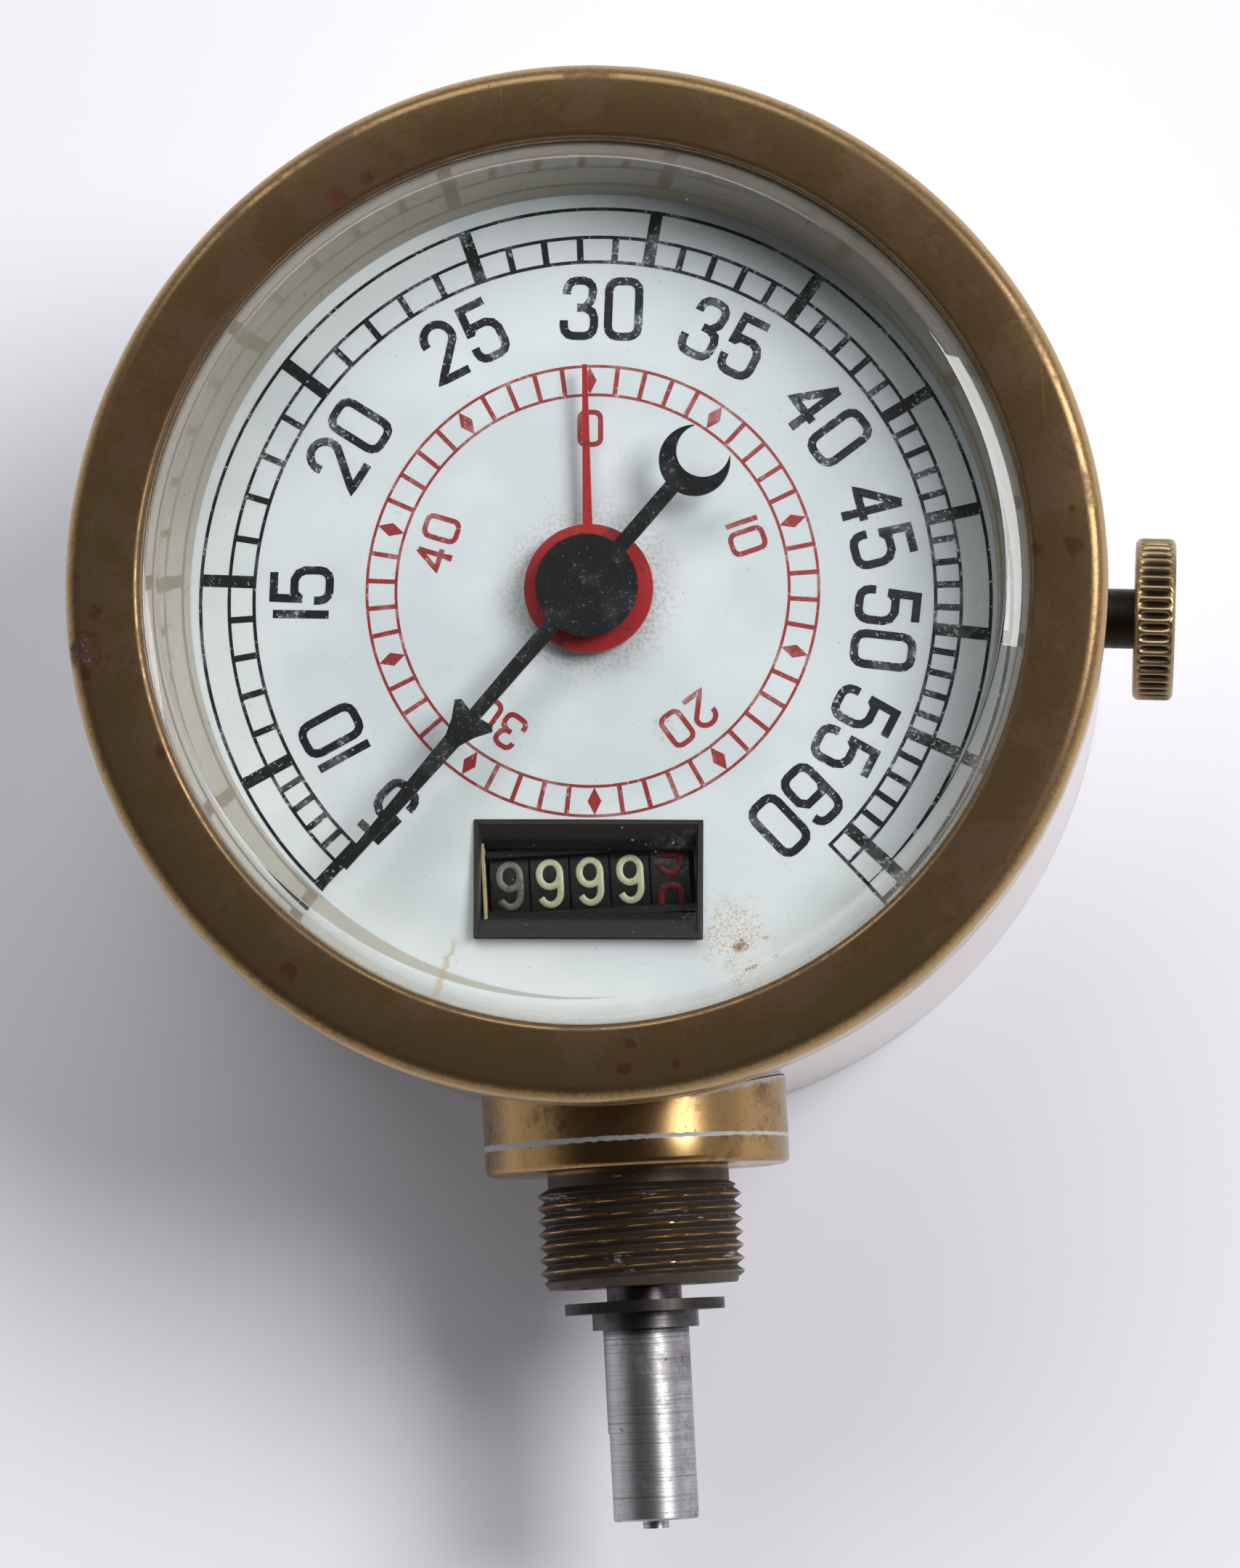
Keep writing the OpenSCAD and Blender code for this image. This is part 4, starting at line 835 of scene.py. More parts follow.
class Solid:
    """Vertices and faces of one piece, in millimetres."""

    def __init__(self) -> None:
        """Starts with nothing."""
        self.points: list[Vector] = []
        self.faces: list[tuple[int, ...]] = []

    def grid(self, rows: Sequence[Sequence[Vector]], ring: bool, caps: bool = False) -> None:
        """Adds a tube of quads.

        Args:
            rows: closed cross-sections with the same number of points.
            ring: whether the last row joins the first.
            caps: whether the two end rows are filled.
        """
        first, width = len(self.points), len(rows[0])
        for row in rows:
            self.points.extend(row)
        for i in range(len(rows) if ring else len(rows) - 1):
            here, there = first + i * width, first + (i + 1) % len(rows) * width
            for j in range(width):
                k = (j + 1) % width
                self.faces.append((here + j, there + j, there + k, here + k))
        if caps:
            last = first + (len(rows) - 1) * width
            self.faces.append(tuple(range(first, first + width)))
            self.faces.append(tuple(range(last + width - 1, last - 1, -1)))

    def spin(self, steps: int, row: Callable[[float], list[Vector]]) -> None:
        """Adds a closed ring of cross-sections, each made for its turn in radians."""
        self.grid([row(math.tau * i / steps) for i in range(steps)], True)

    def piece(
        self, name: str, finish: Finish, body: Body, slot: Slot, angle: float = 32.0
    ) -> bpy.types.Object:
        """Turns the shape into a finished piece that rides a body.

        Args:
            name: the piece's name.
            finish: its surface.
            body: the body that carries it.
            slot: the record's material slot.
            angle: edges sharper than this many degrees stay sharp.

        Returns:
            The new object.
        """
        mesh = bpy.data.meshes.new(name)
        mesh.from_pydata([p * MM for p in self.points], [], self.faces)
        work = bmesh.new()
        work.from_mesh(mesh)
        bmesh.ops.remove_doubles(work, verts=work.verts, dist=1e-7)
        bmesh.ops.recalc_face_normals(work, faces=work.faces)
        work.to_mesh(mesh)
        work.free()
        return adopt(mesh, name, finish, body, slot, angle)


def adopt(
    mesh: bpy.types.Mesh, name: str, finish: Finish, body: Body, slot: Slot, angle: float = 32.0
) -> bpy.types.Object:
    """Links a mesh to the scene as a finished piece on a body.

    Args:
        mesh: its mesh.
        name: its name.
        finish: its surface.
        body: the body that carries it.
        slot: the record's material slot; not used.
        angle: edges sharper than this many degrees stay sharp.

    Returns:
        The new object.
    """
    mesh.shade_smooth()
    mesh.set_sharp_from_angle(angle=math.radians(angle))
    mesh.materials.clear()
    mesh.materials.append(finish.material())
    made = bpy.data.objects.new(name, mesh)
    bpy.context.scene.collection.objects.link(made)
    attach(made, body.value)
    LOG.info("%s: %d faces on %s", name, len(mesh.polygons), body.value)
    return made


def bow(cx: float, cy: float, rx: float, ry: float, start: float, end: float) -> Path:
    """Points of an elliptical arc.

    Args:
        cx: its centre across.
        cy: its centre up.
        rx: its radius across.
        ry: its radius up.
        start: first angle in degrees.
        end: last angle in degrees.

    Returns:
        The points, at most about 15 degrees apart.
    """
    count = max(3, round(abs(end - start) / 15))
    turns = [math.radians(start + (end - start) * i / count) for i in range(count + 1)]
    return [(cx + rx * math.cos(t), cy + ry * math.sin(t)) for t in turns]


def upright(radius: float, z: float, turn: float) -> Vector:
    """Point at a radius, a height and a turn in radians about the dial's axis."""
    return Vector((radius * math.cos(turn), radius * math.sin(turn), z))


def fillet(profile: Path, radius: float, corners: Iterable[int], count: int = 5) -> Path:
    """Rounds some corners of a closed profile.

    Args:
        profile: its corner points.
        radius: the rounding's reach along both sides.
        corners: indices of the corners.
        count: points on each rounding.

    Returns:
        The new profile.
    """
    chosen = set(corners)
    made: Path = []
    for i, point in enumerate(profile):
        if i not in chosen:
            made.append(point)
            continue
        here = Vector(point)
        before = Vector(profile[i - 1]) - here
        after = Vector(profile[(i + 1) % len(profile)]) - here
        start = here + before.normalized() * min(radius, before.length * 0.45)
        end = here + after.normalized() * min(radius, after.length * 0.45)
        for j in range(count + 1):
            t = j / count
            spot = start * (1 - t) ** 2 + here * (2 * t * (1 - t)) + end * t**2
            made.append((spot.x, spot.y))
    return made


def corner(x: float, y: float, start: float) -> Path:
    """Squared-round corner of a numeral.

    Args:
        x: the side it bulges to.
        y: the end it bulges to.
        start: first angle in degrees; it turns clockwise by 90.

    Returns:
        Its four points.
    """
    rx, ry = Numerals.BEND
    middle_x, middle_y = x - math.copysign(rx, x), y - math.copysign(ry, y)
    angles = [math.radians(start - 30 * i) for i in range(4)]
    return [(middle_x + rx * math.cos(t), middle_y + ry * math.sin(t)) for t in angles]


class Numerals:
    """Squared-round numerals as centre lines in a box two wide and two high."""

    BEND = (0.62, 0.36)
    STROKES: dict[str, list[tuple[Path, bool]]] = {}

    @classmethod
    def draw(cls) -> None:
        """Fills in the strokes of all ten digits."""
        bowl = [(-0.9, 0.04), (-0.5, 0.26), (0.36, 0.26), (0.8, 0.12), (1.0, -0.12)]
        hook = [(-0.15, 0.02), (0.36, 0.02), (0.84, -0.12), (1.0, -0.36)]
        foot = [*corner(1, -1, 0), *corner(-1, -1, -90)]
        ring = [(-1, -0.1), (-0.62, 0.16), (0.62, 0.16), (1, -0.1), *foot]
        cap = [(-0.86, 0.5), *corner(-0.86, 1, 180), *corner(0.86, 1, 90), (0.78, 0.3), (0.36, 0.02)]
        cls.STROKES = {
            "0": [([*corner(-1, 1, 180), *corner(1, 1, 90), *foot], True)],
            "1": [([(0, 1), (0, -1)], False)],
            "2": [([*bow(0, 0.46, 0.96, 0.54, 195, -22), (-0.96, -1), (1, -1)], False)],
            "3": [(cap, False), ([*hook, *foot, (-1, -0.44)], False)],
            "4": [
                ([(0.42, 1), (-1, -0.42), (1, -0.42)], False),
                ([(0.42, 1), (0.42, -1)], False),
                ([(0.12, -1), (0.72, -1)], False),
            ],
            "5": [([(0.86, 1), (-0.84, 1), (-0.9, -0.04)], False), ([*bowl, *foot, (-1, -0.46)], False)],
            "6": [(ring, True), ([(-1, -0.1), (-1, 0.5), *corner(-1, 1, 180), *corner(0.94, 1, 90)], False)],
            "7": [([(-1, 1), (1, 1), (-0.2, -1)], False)],
            "8": [(bow(0, 0.5, 0.88, 0.5, 0, 345), True), (bow(0, -0.48, 1, 0.52, 0, 345), True)],
            "9": [
                (bow(0, 0.42, 1, 0.58, 0, 345), True),
                ([(1, 0.42), (1, -0.36), *bow(0, -0.4, 1, 0.6, -5, -155)], False),
            ],
        }


@dataclass
class Pen:
    """Draws numerals as thin raised strokes on a curved surface."""

    height: float
    width: float
    weight: float
    rise: float
    sink: float
    gap: float = 0.0
    pitch: float = 0.45
    domed: bool = False

    def section(self) -> Path:
        """Cross-section of a stroke.

        Returns:
            Shares of its half width and heights above the surface.
        """
        if not self.domed:
            return [(1, self.rise), (-1, self.rise), (-1, -self.sink), (1, -self.sink)]
        crown = [(math.cos(t * math.pi / 6), self.rise * math.sin(t * math.pi / 6)) for t in range(7)]
        return [*crown, (-1, -self.sink), (1, -self.sink)]

    def resample(self, path: Path, closed: bool) -> list[Vector]:
        """Divides a path so that no step is longer than the pitch.

        Args:
            path: its corner points.
            closed: whether it is a loop.

        Returns:
            The points along it.
        """
        ends = path[1:] + path[:1] if closed else path[1:]
        last = [] if closed else [Vector(path[-1])]
        points: list[Vector] = []
        for start, end in zip(path, ends):
            a, b = Vector(start), Vector(end)
            count = max(1, math.ceil((b - a).length / self.pitch))
            points.extend(a.lerp(b, i / count) for i in range(count))
        return points + last

    def stroke(self, solid: Solid, path: Path, closed: bool, surface: Surface, lift: float) -> None:
        """Adds one stroke.

        Args:
            solid: the shape it joins.
            path: its centre line in millimetres.
            closed: whether it is a loop.
            surface: maps across, up and height to space.
            lift: small extra height that keeps crossing strokes apart.
        """
        points = self.resample(path, closed)
        rows = []
        for i, here in enumerate(points):
            back = points[i - 1] if closed or i else here
            ahead = points[(i + 1) % len(points)] if closed or i < len(points) - 1 else here
            before, after = here - back, ahead - here
            before = before.normalized() if before.length > 1e-6 else after.normalized()
            after = after.normalized() if after.length > 1e-6 else before
            along = before + after
            along = along.normalized() if along.length > 1e-3 else after
            reach = self.weight / 2 / max(0.6, along.dot(after))
            side = Vector((-along.y, along.x)) * reach
            row = []
            for share, height in self.section():
                spot = here + side * share
                row.append(surface(spot.x, spot.y, height + lift if height > 0 else height))
            rows.append(row)
        solid.grid(rows, closed, not closed)

    def write(self, solid: Solid, text: str, surface: Surface) -> None:
        """Adds a number centred on the surface's origin.

        Args:
            solid: the shape it joins.
            text: its digits.
            surface: maps across, up and height to space.
        """
        inset = self.weight / 2
        widths = [self.weight if c == "1" else self.width for c in text]
        start = -(sum(widths) + self.gap * (len(text) - 1)) / 2
        for digit, width in zip(text, widths):
            middle = start + width / 2
            for order, (path, closed) in enumerate(Numerals.STROKES[digit]):
                half = max(0.0, width / 2 - inset)
                line = [(middle + x * half, y * (self.height / 2 - inset)) for x, y in path]
                self.stroke(solid, line, closed, surface, order * 0.002)
            start += width + self.gap


class ShapeTree(Tree):
    """Geometry Nodes with named inputs that end in a real mesh with its material."""

    def __init__(self, name: str, inputs: dict[str, str]) -> None:
        """Makes the tree and its inputs.

        Args:
            name: the tree's name.
            inputs: kind of socket by the input's name.
        """
        super().__init__(bpy.data.node_groups.new(name, "GeometryNodeTree"))
        face = self.tree.interface
        self.keys: dict[str, str] = {}
        for label, kind in {"Geometry": "Geometry", **inputs, "Material": "Material"}.items():
            socket = face.new_socket(label, in_out="INPUT", socket_type=f"NodeSocket{kind}")
            self.keys[label] = socket.identifier
        face.new_socket("Geometry", in_out="OUTPUT", socket_type="NodeSocketGeometry")
        self.given = self.node("NodeGroupInput").outputs

    def end(self, made: bpy.types.Node) -> None:
        """Ends the tree.

        Args:
            made: the node whose geometry is realised and gets the material.
        """
        real = self.node("GeometryNodeRealizeInstances", None, {0: made.outputs[0]})
        inputs = {"Geometry": real.outputs[0], "Material": self.given["Material"]}
        done = self.node("GeometryNodeSetMaterial", None, inputs)
        self.node("NodeGroupOutput", None, {0: done.outputs[0]})

    def realise(self, name: str, mesh: bpy.types.Mesh, finish: Finish, values: dict) -> bpy.types.Mesh:
        """Plain mesh of a mesh after this tree.

        Args:
            name: the result's name.
            mesh: the mesh that goes in.
            finish: the result's surface.
            values: values of the other inputs by name.

        Returns:
            The realised mesh.
        """
        carrier = bpy.data.objects.new(f"{name}_carrier", mesh)
        bpy.context.scene.collection.objects.link(carrier)
        modifier = carrier.modifiers.new("nodes", "NODES")
        modifier.node_group = self.tree
        for label, value in {**values, "Material": finish.material()}.items():
            modifier[self.keys[label]] = value
        graph = bpy.context.evaluated_depsgraph_get()
        made = bpy.data.meshes.new_from_object(carrier.evaluated_get(graph), depsgraph=graph)
        made.name = name
        bpy.data.objects.remove(carrier)
        return made


class StampTree(ShapeTree):
    """Sets one four-sided stamp on every point of a mesh."""

    def __init__(self) -> None:
        """Builds the tree."""
        super().__init__("stamps", {"Size": "Vector", "Twist": "Float"})
        given = self.given
        inputs = {"Vertices": 4, "Radius": math.sqrt(0.5), "Depth": 1.0}
        block = self.node("GeometryNodeMeshCylinder", None, inputs)
        angle = self.node("ShaderNodeCombineXYZ", None, {"Z": given["Twist"]})
        inputs = {"Geometry": block.outputs[0], "Rotation": angle.outputs[0]}
        turned = self.node("GeometryNodeTransform", None, inputs)
        inputs = {"Geometry": turned.outputs[0], "Scale": given["Size"]}
        sized = self.node("GeometryNodeTransform", None, inputs)
        settings = {"data_type": "FLOAT_VECTOR"}
        facing = self.node("GeometryNodeInputNamedAttribute", settings, {"Name": "facing"})
        turn = self.node("FunctionNodeEulerToRotation", None, {0: facing.outputs[0]})
        inputs = {"Points": given["Geometry"], "Instance": sized.outputs[0], "Rotation": turn.outputs[0]}
        self.end(self.node("GeometryNodeInstanceOnPoints", None, inputs))

    def press(
        self, name: str, marks: Sequence[Mark], size: Sequence[float], twist: float, finish: Finish
    ) -> bpy.types.Mesh:
        """Mesh of stamps.

        Args:
            name: the mesh's name.
            marks: place in millimetres and turn of every stamp.
            size: width, length and thickness in millimetres.
            twist: turn of the four-sided block before it is sized; 45 degrees gives a bar, 0 a lozenge.
            finish: its surface.

        Returns:
            The realised mesh.
        """
        mesh = bpy.data.meshes.new(name)
        mesh.from_pydata([place * MM for place, _ in marks], [], [])
        attribute = mesh.attributes.new("facing", "FLOAT_VECTOR", "POINT")
        attribute.data.foreach_set("vector", [c for _, turn in marks for c in turn])
        values = {"Size": [s * MM for s in size], "Twist": math.radians(twist)}
        return self.realise(name, mesh, finish, values)


class CoilTree(ShapeTree):
    """Winds a wire along Z."""

    def __init__(self) -> None:
        """Builds the tree."""
        super().__init__("coil", dict.fromkeys(("Turns", "Radius", "Length", "Wire"), "Float"))
        given = self.given
        inputs = {
            "Resolution": 40,
            "Rotations": given["Turns"],
            "Start Radius": given["Radius"],
            "End Radius": given["Radius"],
            "Height": given["Length"],
        }
        path = self.node("GeometryNodeCurveSpiral", None, inputs)
        inputs = {"Resolution": 12, "Radius": given["Wire"]}
        section = self.node("GeometryNodeCurvePrimitiveCircle", None, inputs)
        inputs = {"Curve": path.outputs[0], "Profile Curve": section.outputs[0], "Fill Caps": True}
        self.end(self.node("GeometryNodeCurveToMesh", None, inputs))


@dataclass(frozen=True)
class Layer:
    """Place of one printed colour on the dial: its shift in millimetres and its turn in degrees."""

    shift: tuple[float, float]
    turn: float


@dataclass
class DialPrint:
    """Printed scales of the domed dial; angles run clockwise from twelve."""

    rim_z: float = 47.4
    rise: float = 3.1
    span: float = 46.4
    lift: float = 0.03
    sink: float = 0.06
    black: Layer = Layer((0.2, -0.75), 3.5)
    red: Layer = Layer((0.2, 0.1), 2.3)
    rings: tuple[float, ...] = (41.9, 38.8, 36.1)
    ring_w: float = 0.36
    major_w: float = 1.3
    tick_w: float = 0.68
    run_on: float = 4.1
    number_r: float = 31.0
    number_pen: tuple[float, float, float, float] = (6.9, 4.1, 0.88, 0.6)
    trip_rings: tuple[float, ...] = (23.9, 20.8)
    trip_w: float = 0.3
    line_w: float = 0.48
    lozenge: tuple[float, float] = (1.02, 2.05)
    trip_number_r: float = 17.2
    trip_pen: tuple[float, float, float, float] = (4.0, 2.75, 0.54, 0.45)
    divisions: int = 50
    speeds: tuple[float, ...] = (
        223.6, 242.0, 272.9, 307.4, 340.1, 368.7, 394.4, 417.75, 436.4, 454.9, 472.8, 491.7
    )
    numbers: tuple[float, ...] = (
        223.7, 241.8, 271.3, 302.2, 333.0, 361.1, 386.2, 412.2, 435.2, 455.75, 476.9, 496.0
    )

    def dome(self) -> float:
        """Radius of the dial's sphere."""
        return (self.span**2 + self.rise**2) / (2 * self.rise)

    def height(self, radius: float) -> float:
        """Height of the enamel at a radius."""
        dome = self.dome()
        return self.rim_z + math.sqrt(dome**2 - min(radius, self.span) ** 2) - dome + self.rise

    def pen(self, height: float, width: float, weight: float, gap: float) -> Pen:
        """Pen for numbers of that height, width, weight and gap."""
        return Pen(height, width, weight, self.lift, self.sink, gap)

    def page(self, layer: Layer, radius: float, angle: float) -> Surface:
        """Surface around a point of a layer, with its top outward.

        Args:
            layer: the printed colour.
            radius: the point's radius.
            angle: its angle.

        Returns:
            The map from across, up and height to space.
        """
        a = math.radians(angle + layer.turn)
        out, right = Vector((math.sin(a), math.cos(a))), Vector((math.cos(a), -math.sin(a)))

        def place(across: float, up: float, height: float) -> Vector:
            """Point of the surface."""
            spot = Vector(layer.shift) + out * (radius + up) + right * across
            return Vector((spot.x, spot.y, self.height(spot.length) + height))

        return place

    def mark(self, layer: Layer, radius: float, angle: float) -> Mark:
        """Stamp that lies along the layer's radius.

        Args:
            layer: the printed colour.
            radius: the radius of its middle.
            angle: its angle.

        Returns:
            Its place and turn.
        """
        place = self.page(layer, radius, angle)(0, 0, (self.lift - self.sink) / 2)
        turn = Vector((-math.asin(radius / self.dome()), 0, -math.radians(angle + layer.turn)))
        return place, turn

    def ring(
        self, solid: Solid, layer: Layer, radius: float, width: float, span: Sequence[float] = (0, 360)
    ) -> None:
        """Adds a printed ring or arc.

        Args:
            solid: the shape it joins.
            layer: the printed colour.
            radius: its radius.
            width: its line width.
            span: its first and last angle.
        """
        start, sweep = span[0], span[1] - span[0]
        full = sweep >= 360
        count = max(8, round(sweep / 360 * 288))
        rows = []
        for i in range(count if full else count + 1):
            page = self.page(layer, radius, start + sweep * i / count)
            corners = ((-1, self.lift), (1, self.lift), (1, -self.sink), (-1, -self.sink))
            rows.append([page(0, side * width / 2, up) for side, up in corners])
        solid.grid(rows, full, not full)

    def stamp(
        self,
        stamps: StampTree,
        name: str,
        finish: Finish,
        marks: Sequence[Mark],
        size: Sequence[float],
        twist: float = 45.0,
    ) -> None:
        """Adds one piece of stamps on the dial."""
        mesh = stamps.press(name, marks, (*size, self.lift + self.sink), twist, finish)
        adopt(mesh, name, finish, Body.CASE, Slot.ENAMEL)

    def speed_scale(self, stamps: StampTree) -> None:
        """Prints the black scale and its numbers.

        Args:
            stamps: the tree that makes its marks.
        """
        layer, outer, middle, inner = self.black, *self.rings
        first, last = self.speeds[0], self.speeds[-1]
        rings = Solid()
        for radius in self.rings:
            self.ring(rings, layer, radius, self.ring_w, (first - 1.0, last + self.run_on))
        rings.piece("speed_scale_rings", BLACK_INK, Body.CASE, Slot.ENAMEL)
        centre, length = (outer + inner) / 2, outer - inner + self.ring_w
        majors = [self.mark(layer, centre, a) for a in self.speeds]
        self.stamp(stamps, "speed_scale_marks", BLACK_INK, majors, (self.major_w, length))
        end = [self.mark(layer, centre, last + self.run_on)]
        self.stamp(stamps, "speed_scale_end", BLACK_INK, end, (self.ring_w, length))
        minors = [
            self.mark(layer, (middle + inner) / 2, a + (b - a) * k / 5)
            for a, b in zip(self.speeds, self.speeds[1:])
            for k in range(1, 5)
        ]
        self.stamp(stamps, "speed_scale_ticks", BLACK_INK, minors, (self.tick_w, middle - inner))
        pen = self.pen(*self.number_pen)
        digits = Solid()
        for i, angle in enumerate(self.numbers):
            pen.write(digits, str(5 * (i + 1)), self.page(layer, self.number_r, angle))
        digits.piece("speed_scale_numbers", BLACK_INK, Body.CASE, Slot.ENAMEL)

    def trip_scale(self, stamps: StampTree) -> None:
        """Prints the red scale and its numbers.

        Args:
            stamps: the tree that makes its marks.
        """
        layer, (outer, inner) = self.red, self.trip_rings
        red = Solid()
        for radius in self.trip_rings:
            self.ring(red, layer, radius, self.trip_w)
        pen = self.pen(*self.trip_pen)
        for k in range(5):
            pen.write(red, str(10 * k), self.page(layer, self.trip_number_r, 72 * k))
        red.piece("trip_scale_print", RED_INK, Body.CASE, Slot.ENAMEL)
        middle, step = (outer + inner) / 2, 360 / self.divisions
        lines = [self.mark(layer, middle, step * k) for k in range(self.divisions) if k % 5]
        self.stamp(stamps, "trip_scale_lines", RED_INK, lines, (self.line_w, outer - inner))
        stars = [self.mark(layer, middle, step * k) for k in range(0, self.divisions, 5)]
        self.stamp(stamps, "trip_scale_lozenges", RED_INK, stars, self.lozenge, 0)

    def build(self) -> None:
        """Makes the black and red prints."""
        stamps = StampTree()
        Numerals.draw()
        self.speed_scale(stamps)
        self.trip_scale(stamps)


@dataclass
class Counter:
    """Raised digits on the five counter drums."""

    radius: float = 9.4
    pitch: float = 4.25
    first_x: float = -12.481
    axle_y: float = -30.343
    axle_z: float = 37.173
    height: float = 5.3
    width: float = 2.95
    stroke: tuple[float, float, float] = (0.74, 0.16, 0.12)
    shown: float = 9.0
    between: float = 9.45
    sliver_x: tuple[float, float] = (-13.06, -12.66)
    sliver_y: tuple[float, float] = (-35.3, -25.9)
    sliver_z: tuple[float, float] = (47.5, 48.35)
    sliver_steps: int = 48
    sill_x: tuple[float, float] = (-13.2, 9.5)
    sill_y: tuple[float, float] = (2.9, 3.7)
    sill_z: tuple[float, float] = (46.5, 46.9)
    sill_edge: float = 0.1

    def drum(self, order: int, body: Body, shown: float, finish: Finish, slot: Slot) -> None:
        """Adds the ten digits of one drum.

        Args:
            order: its place from the left.
            body: the body that carries it.
            shown: the digit that faces the window.
            finish: the digits' surface.
            slot: the record's material slot.
        """
        middle = self.first_x + self.pitch * (order + 0.5)
        pen = Pen(self.height, self.width, *self.stroke, domed=True)
        solid = Solid()
        for digit in range(10):
            base = math.radians(36 * (digit - shown))

            def place(across: float, up: float, height: float, base: float = base) -> Vector:
                """Point of the drum's surface.

                Args:
                    across: distance from the digit's middle along the axle.
                    up: distance from its middle around the drum.
                    height: height above the drum.
                    base: turn of the digit's middle in radians.

                Returns:
                    The point.
                """
                angle, reach = up / self.radius - base, self.radius + height
                y, z = self.axle_y + reach * math.sin(angle), self.axle_z + reach * math.cos(angle)
                return Vector((middle + across, y, z))

            pen.write(solid, str(digit), place)
        solid.piece(f"{body.value}_digits", finish, body, slot)

    def sliver(self) -> None:
        """Adds the worn brass strip at the left end of the window."""
        (left, right), (bottom, top), (low, high) = self.sliver_x, self.sliver_y, self.sliver_z
        rows = []
        for i in range(self.sliver_steps + 1):
            y = bottom + (top - bottom) * i / self.sliver_steps
            wear = 0.12 * noise.noise(Vector((0.0, y * 1.7, 0.0)))
            rim = right - 0.06 + wear
            edge = [(left, low), (rim, low), (rim, high - 0.15), (rim - 0.15, high), (left, high)]
            rows.append([Vector((x, y, z)) for x, z in edge])
        solid = Solid()
        solid.grid(rows, False, True)
        solid.piece("window_sliver", SLIVER, Body.CASE, Slot.POLISHED_BRASS)

    def sills(self) -> None:
        """Adds the two thin strips that hide the next digits above and below."""
        (near, far), (low, high), e = self.sill_y, self.sill_z, self.sill_edge
        lip = [(near + e, low), (near, low + e), (near, high - e), (near + e, high)]
        section = [(far, low), *lip, (far, high)]
        solid = Solid()
        for side in (1, -1):
            rows = [[Vector((x, self.axle_y + side * y, z)) for y, z in section] for x in self.sill_x]
            solid.grid(rows, False, True)
        solid.piece("window_sills", FRAME, Body.CASE, Slot.DARK_STEEL)

    def build(self) -> None:
        """Makes the digits of all drums, the strip beside them and the sills."""
        self.drum(0, Body.THOUSANDS, self.shown, CREAM_FADED, Slot.ENAMEL)
        for order, body in enumerate((Body.HUNDREDS, Body.TENS, Body.UNITS), 1):
            self.drum(order, body, self.shown, CREAM, Slot.ENAMEL)
        self.drum(4, Body.TENTHS, self.between, DIGIT_RED, Slot.RED)
        self.sliver()
        self.sills()


@dataclass
class Spigot:
    """Drive spigot with a cut thread; the axis runs along -Y."""

    axis_z: float = 24.5
    joint_y: float = -57.4
    flange_y: float = -60.4
    thread_y: float = -62.0
    end_y: float = -73.0
    plug_y: float = -47.4
    boss_r: float = 16.6
    neck_r: float = 9.9
    crest_r: float = 11.2
    bore_r: float = 6.22
    plug_r: float = 10.0
    pitch: float = 1.41
    depth: float = 0.85
    lead_in: tuple[float, float] = (1.3, 1.0)
    edge: float = 0.8
    steps: int = 160
    slices: int = 104

    def cut(self, along: float, turn: float) -> float:
        """Radius of the thread.

        Args:
            along: place along the axis from the thread's start.
            turn: turn in radians.

        Returns:
            The radius there.
        """
        phase = (along / self.pitch - turn / math.tau) % 1.0
        wave = abs(phase * 2 - 1)
        crest = min(1.0, max(0.0, (wave - 0.1) / 0.86))
        length = self.thread_y - self.end_y
        start = self.crest_r - (self.crest_r - self.neck_r) * max(0.0, 1 - along / 0.75)
        end = self.crest_r - self.lead_in[1] * max(0.0, 1 - (length - along) / self.lead_in[0])
        return min(start, end, self.crest_r - self.depth * (1 - crest))

    def build(self) -> None:
        """Makes the spigot and hides the plain one."""
        length = self.thread_y - self.end_y
        flange = [(self.boss_r, self.joint_y), (self.boss_r, self.flange_y), (self.neck_r, self.flange_y)]
        rim = fillet([(self.plug_r, self.joint_y), *flange, (self.neck_r, self.thread_y)], self.edge, (2,))
        head = [(self.bore_r, self.plug_y), (self.plug_r, self.plug_y), *rim]
        mouth = [(self.bore_r + 0.5, self.end_y), (self.bore_r, self.end_y + 0.5)]
        places = [length * j / self.slices for j in range(self.slices + 1)]

        def row(turn: float) -> list[Vector]:
            """Section of the spigot.

            Args:
                turn: its turn in radians.

            Returns:
                Its points.
            """
            thread = [(self.cut(along, turn), self.thread_y - along) for along in places]
            c, s = math.cos(turn), math.sin(turn)
            return [Vector((r * c, y, self.axis_z + r * s)) for r, y in [*head, *thread, *mouth]]

        solid = Solid()
        solid.spin(self.steps, row)
        made = solid.piece("threaded_spigot", SPIGOT, Body.CASE, Slot.POLISHED_BRASS, 40)
        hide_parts("drive_spigot")


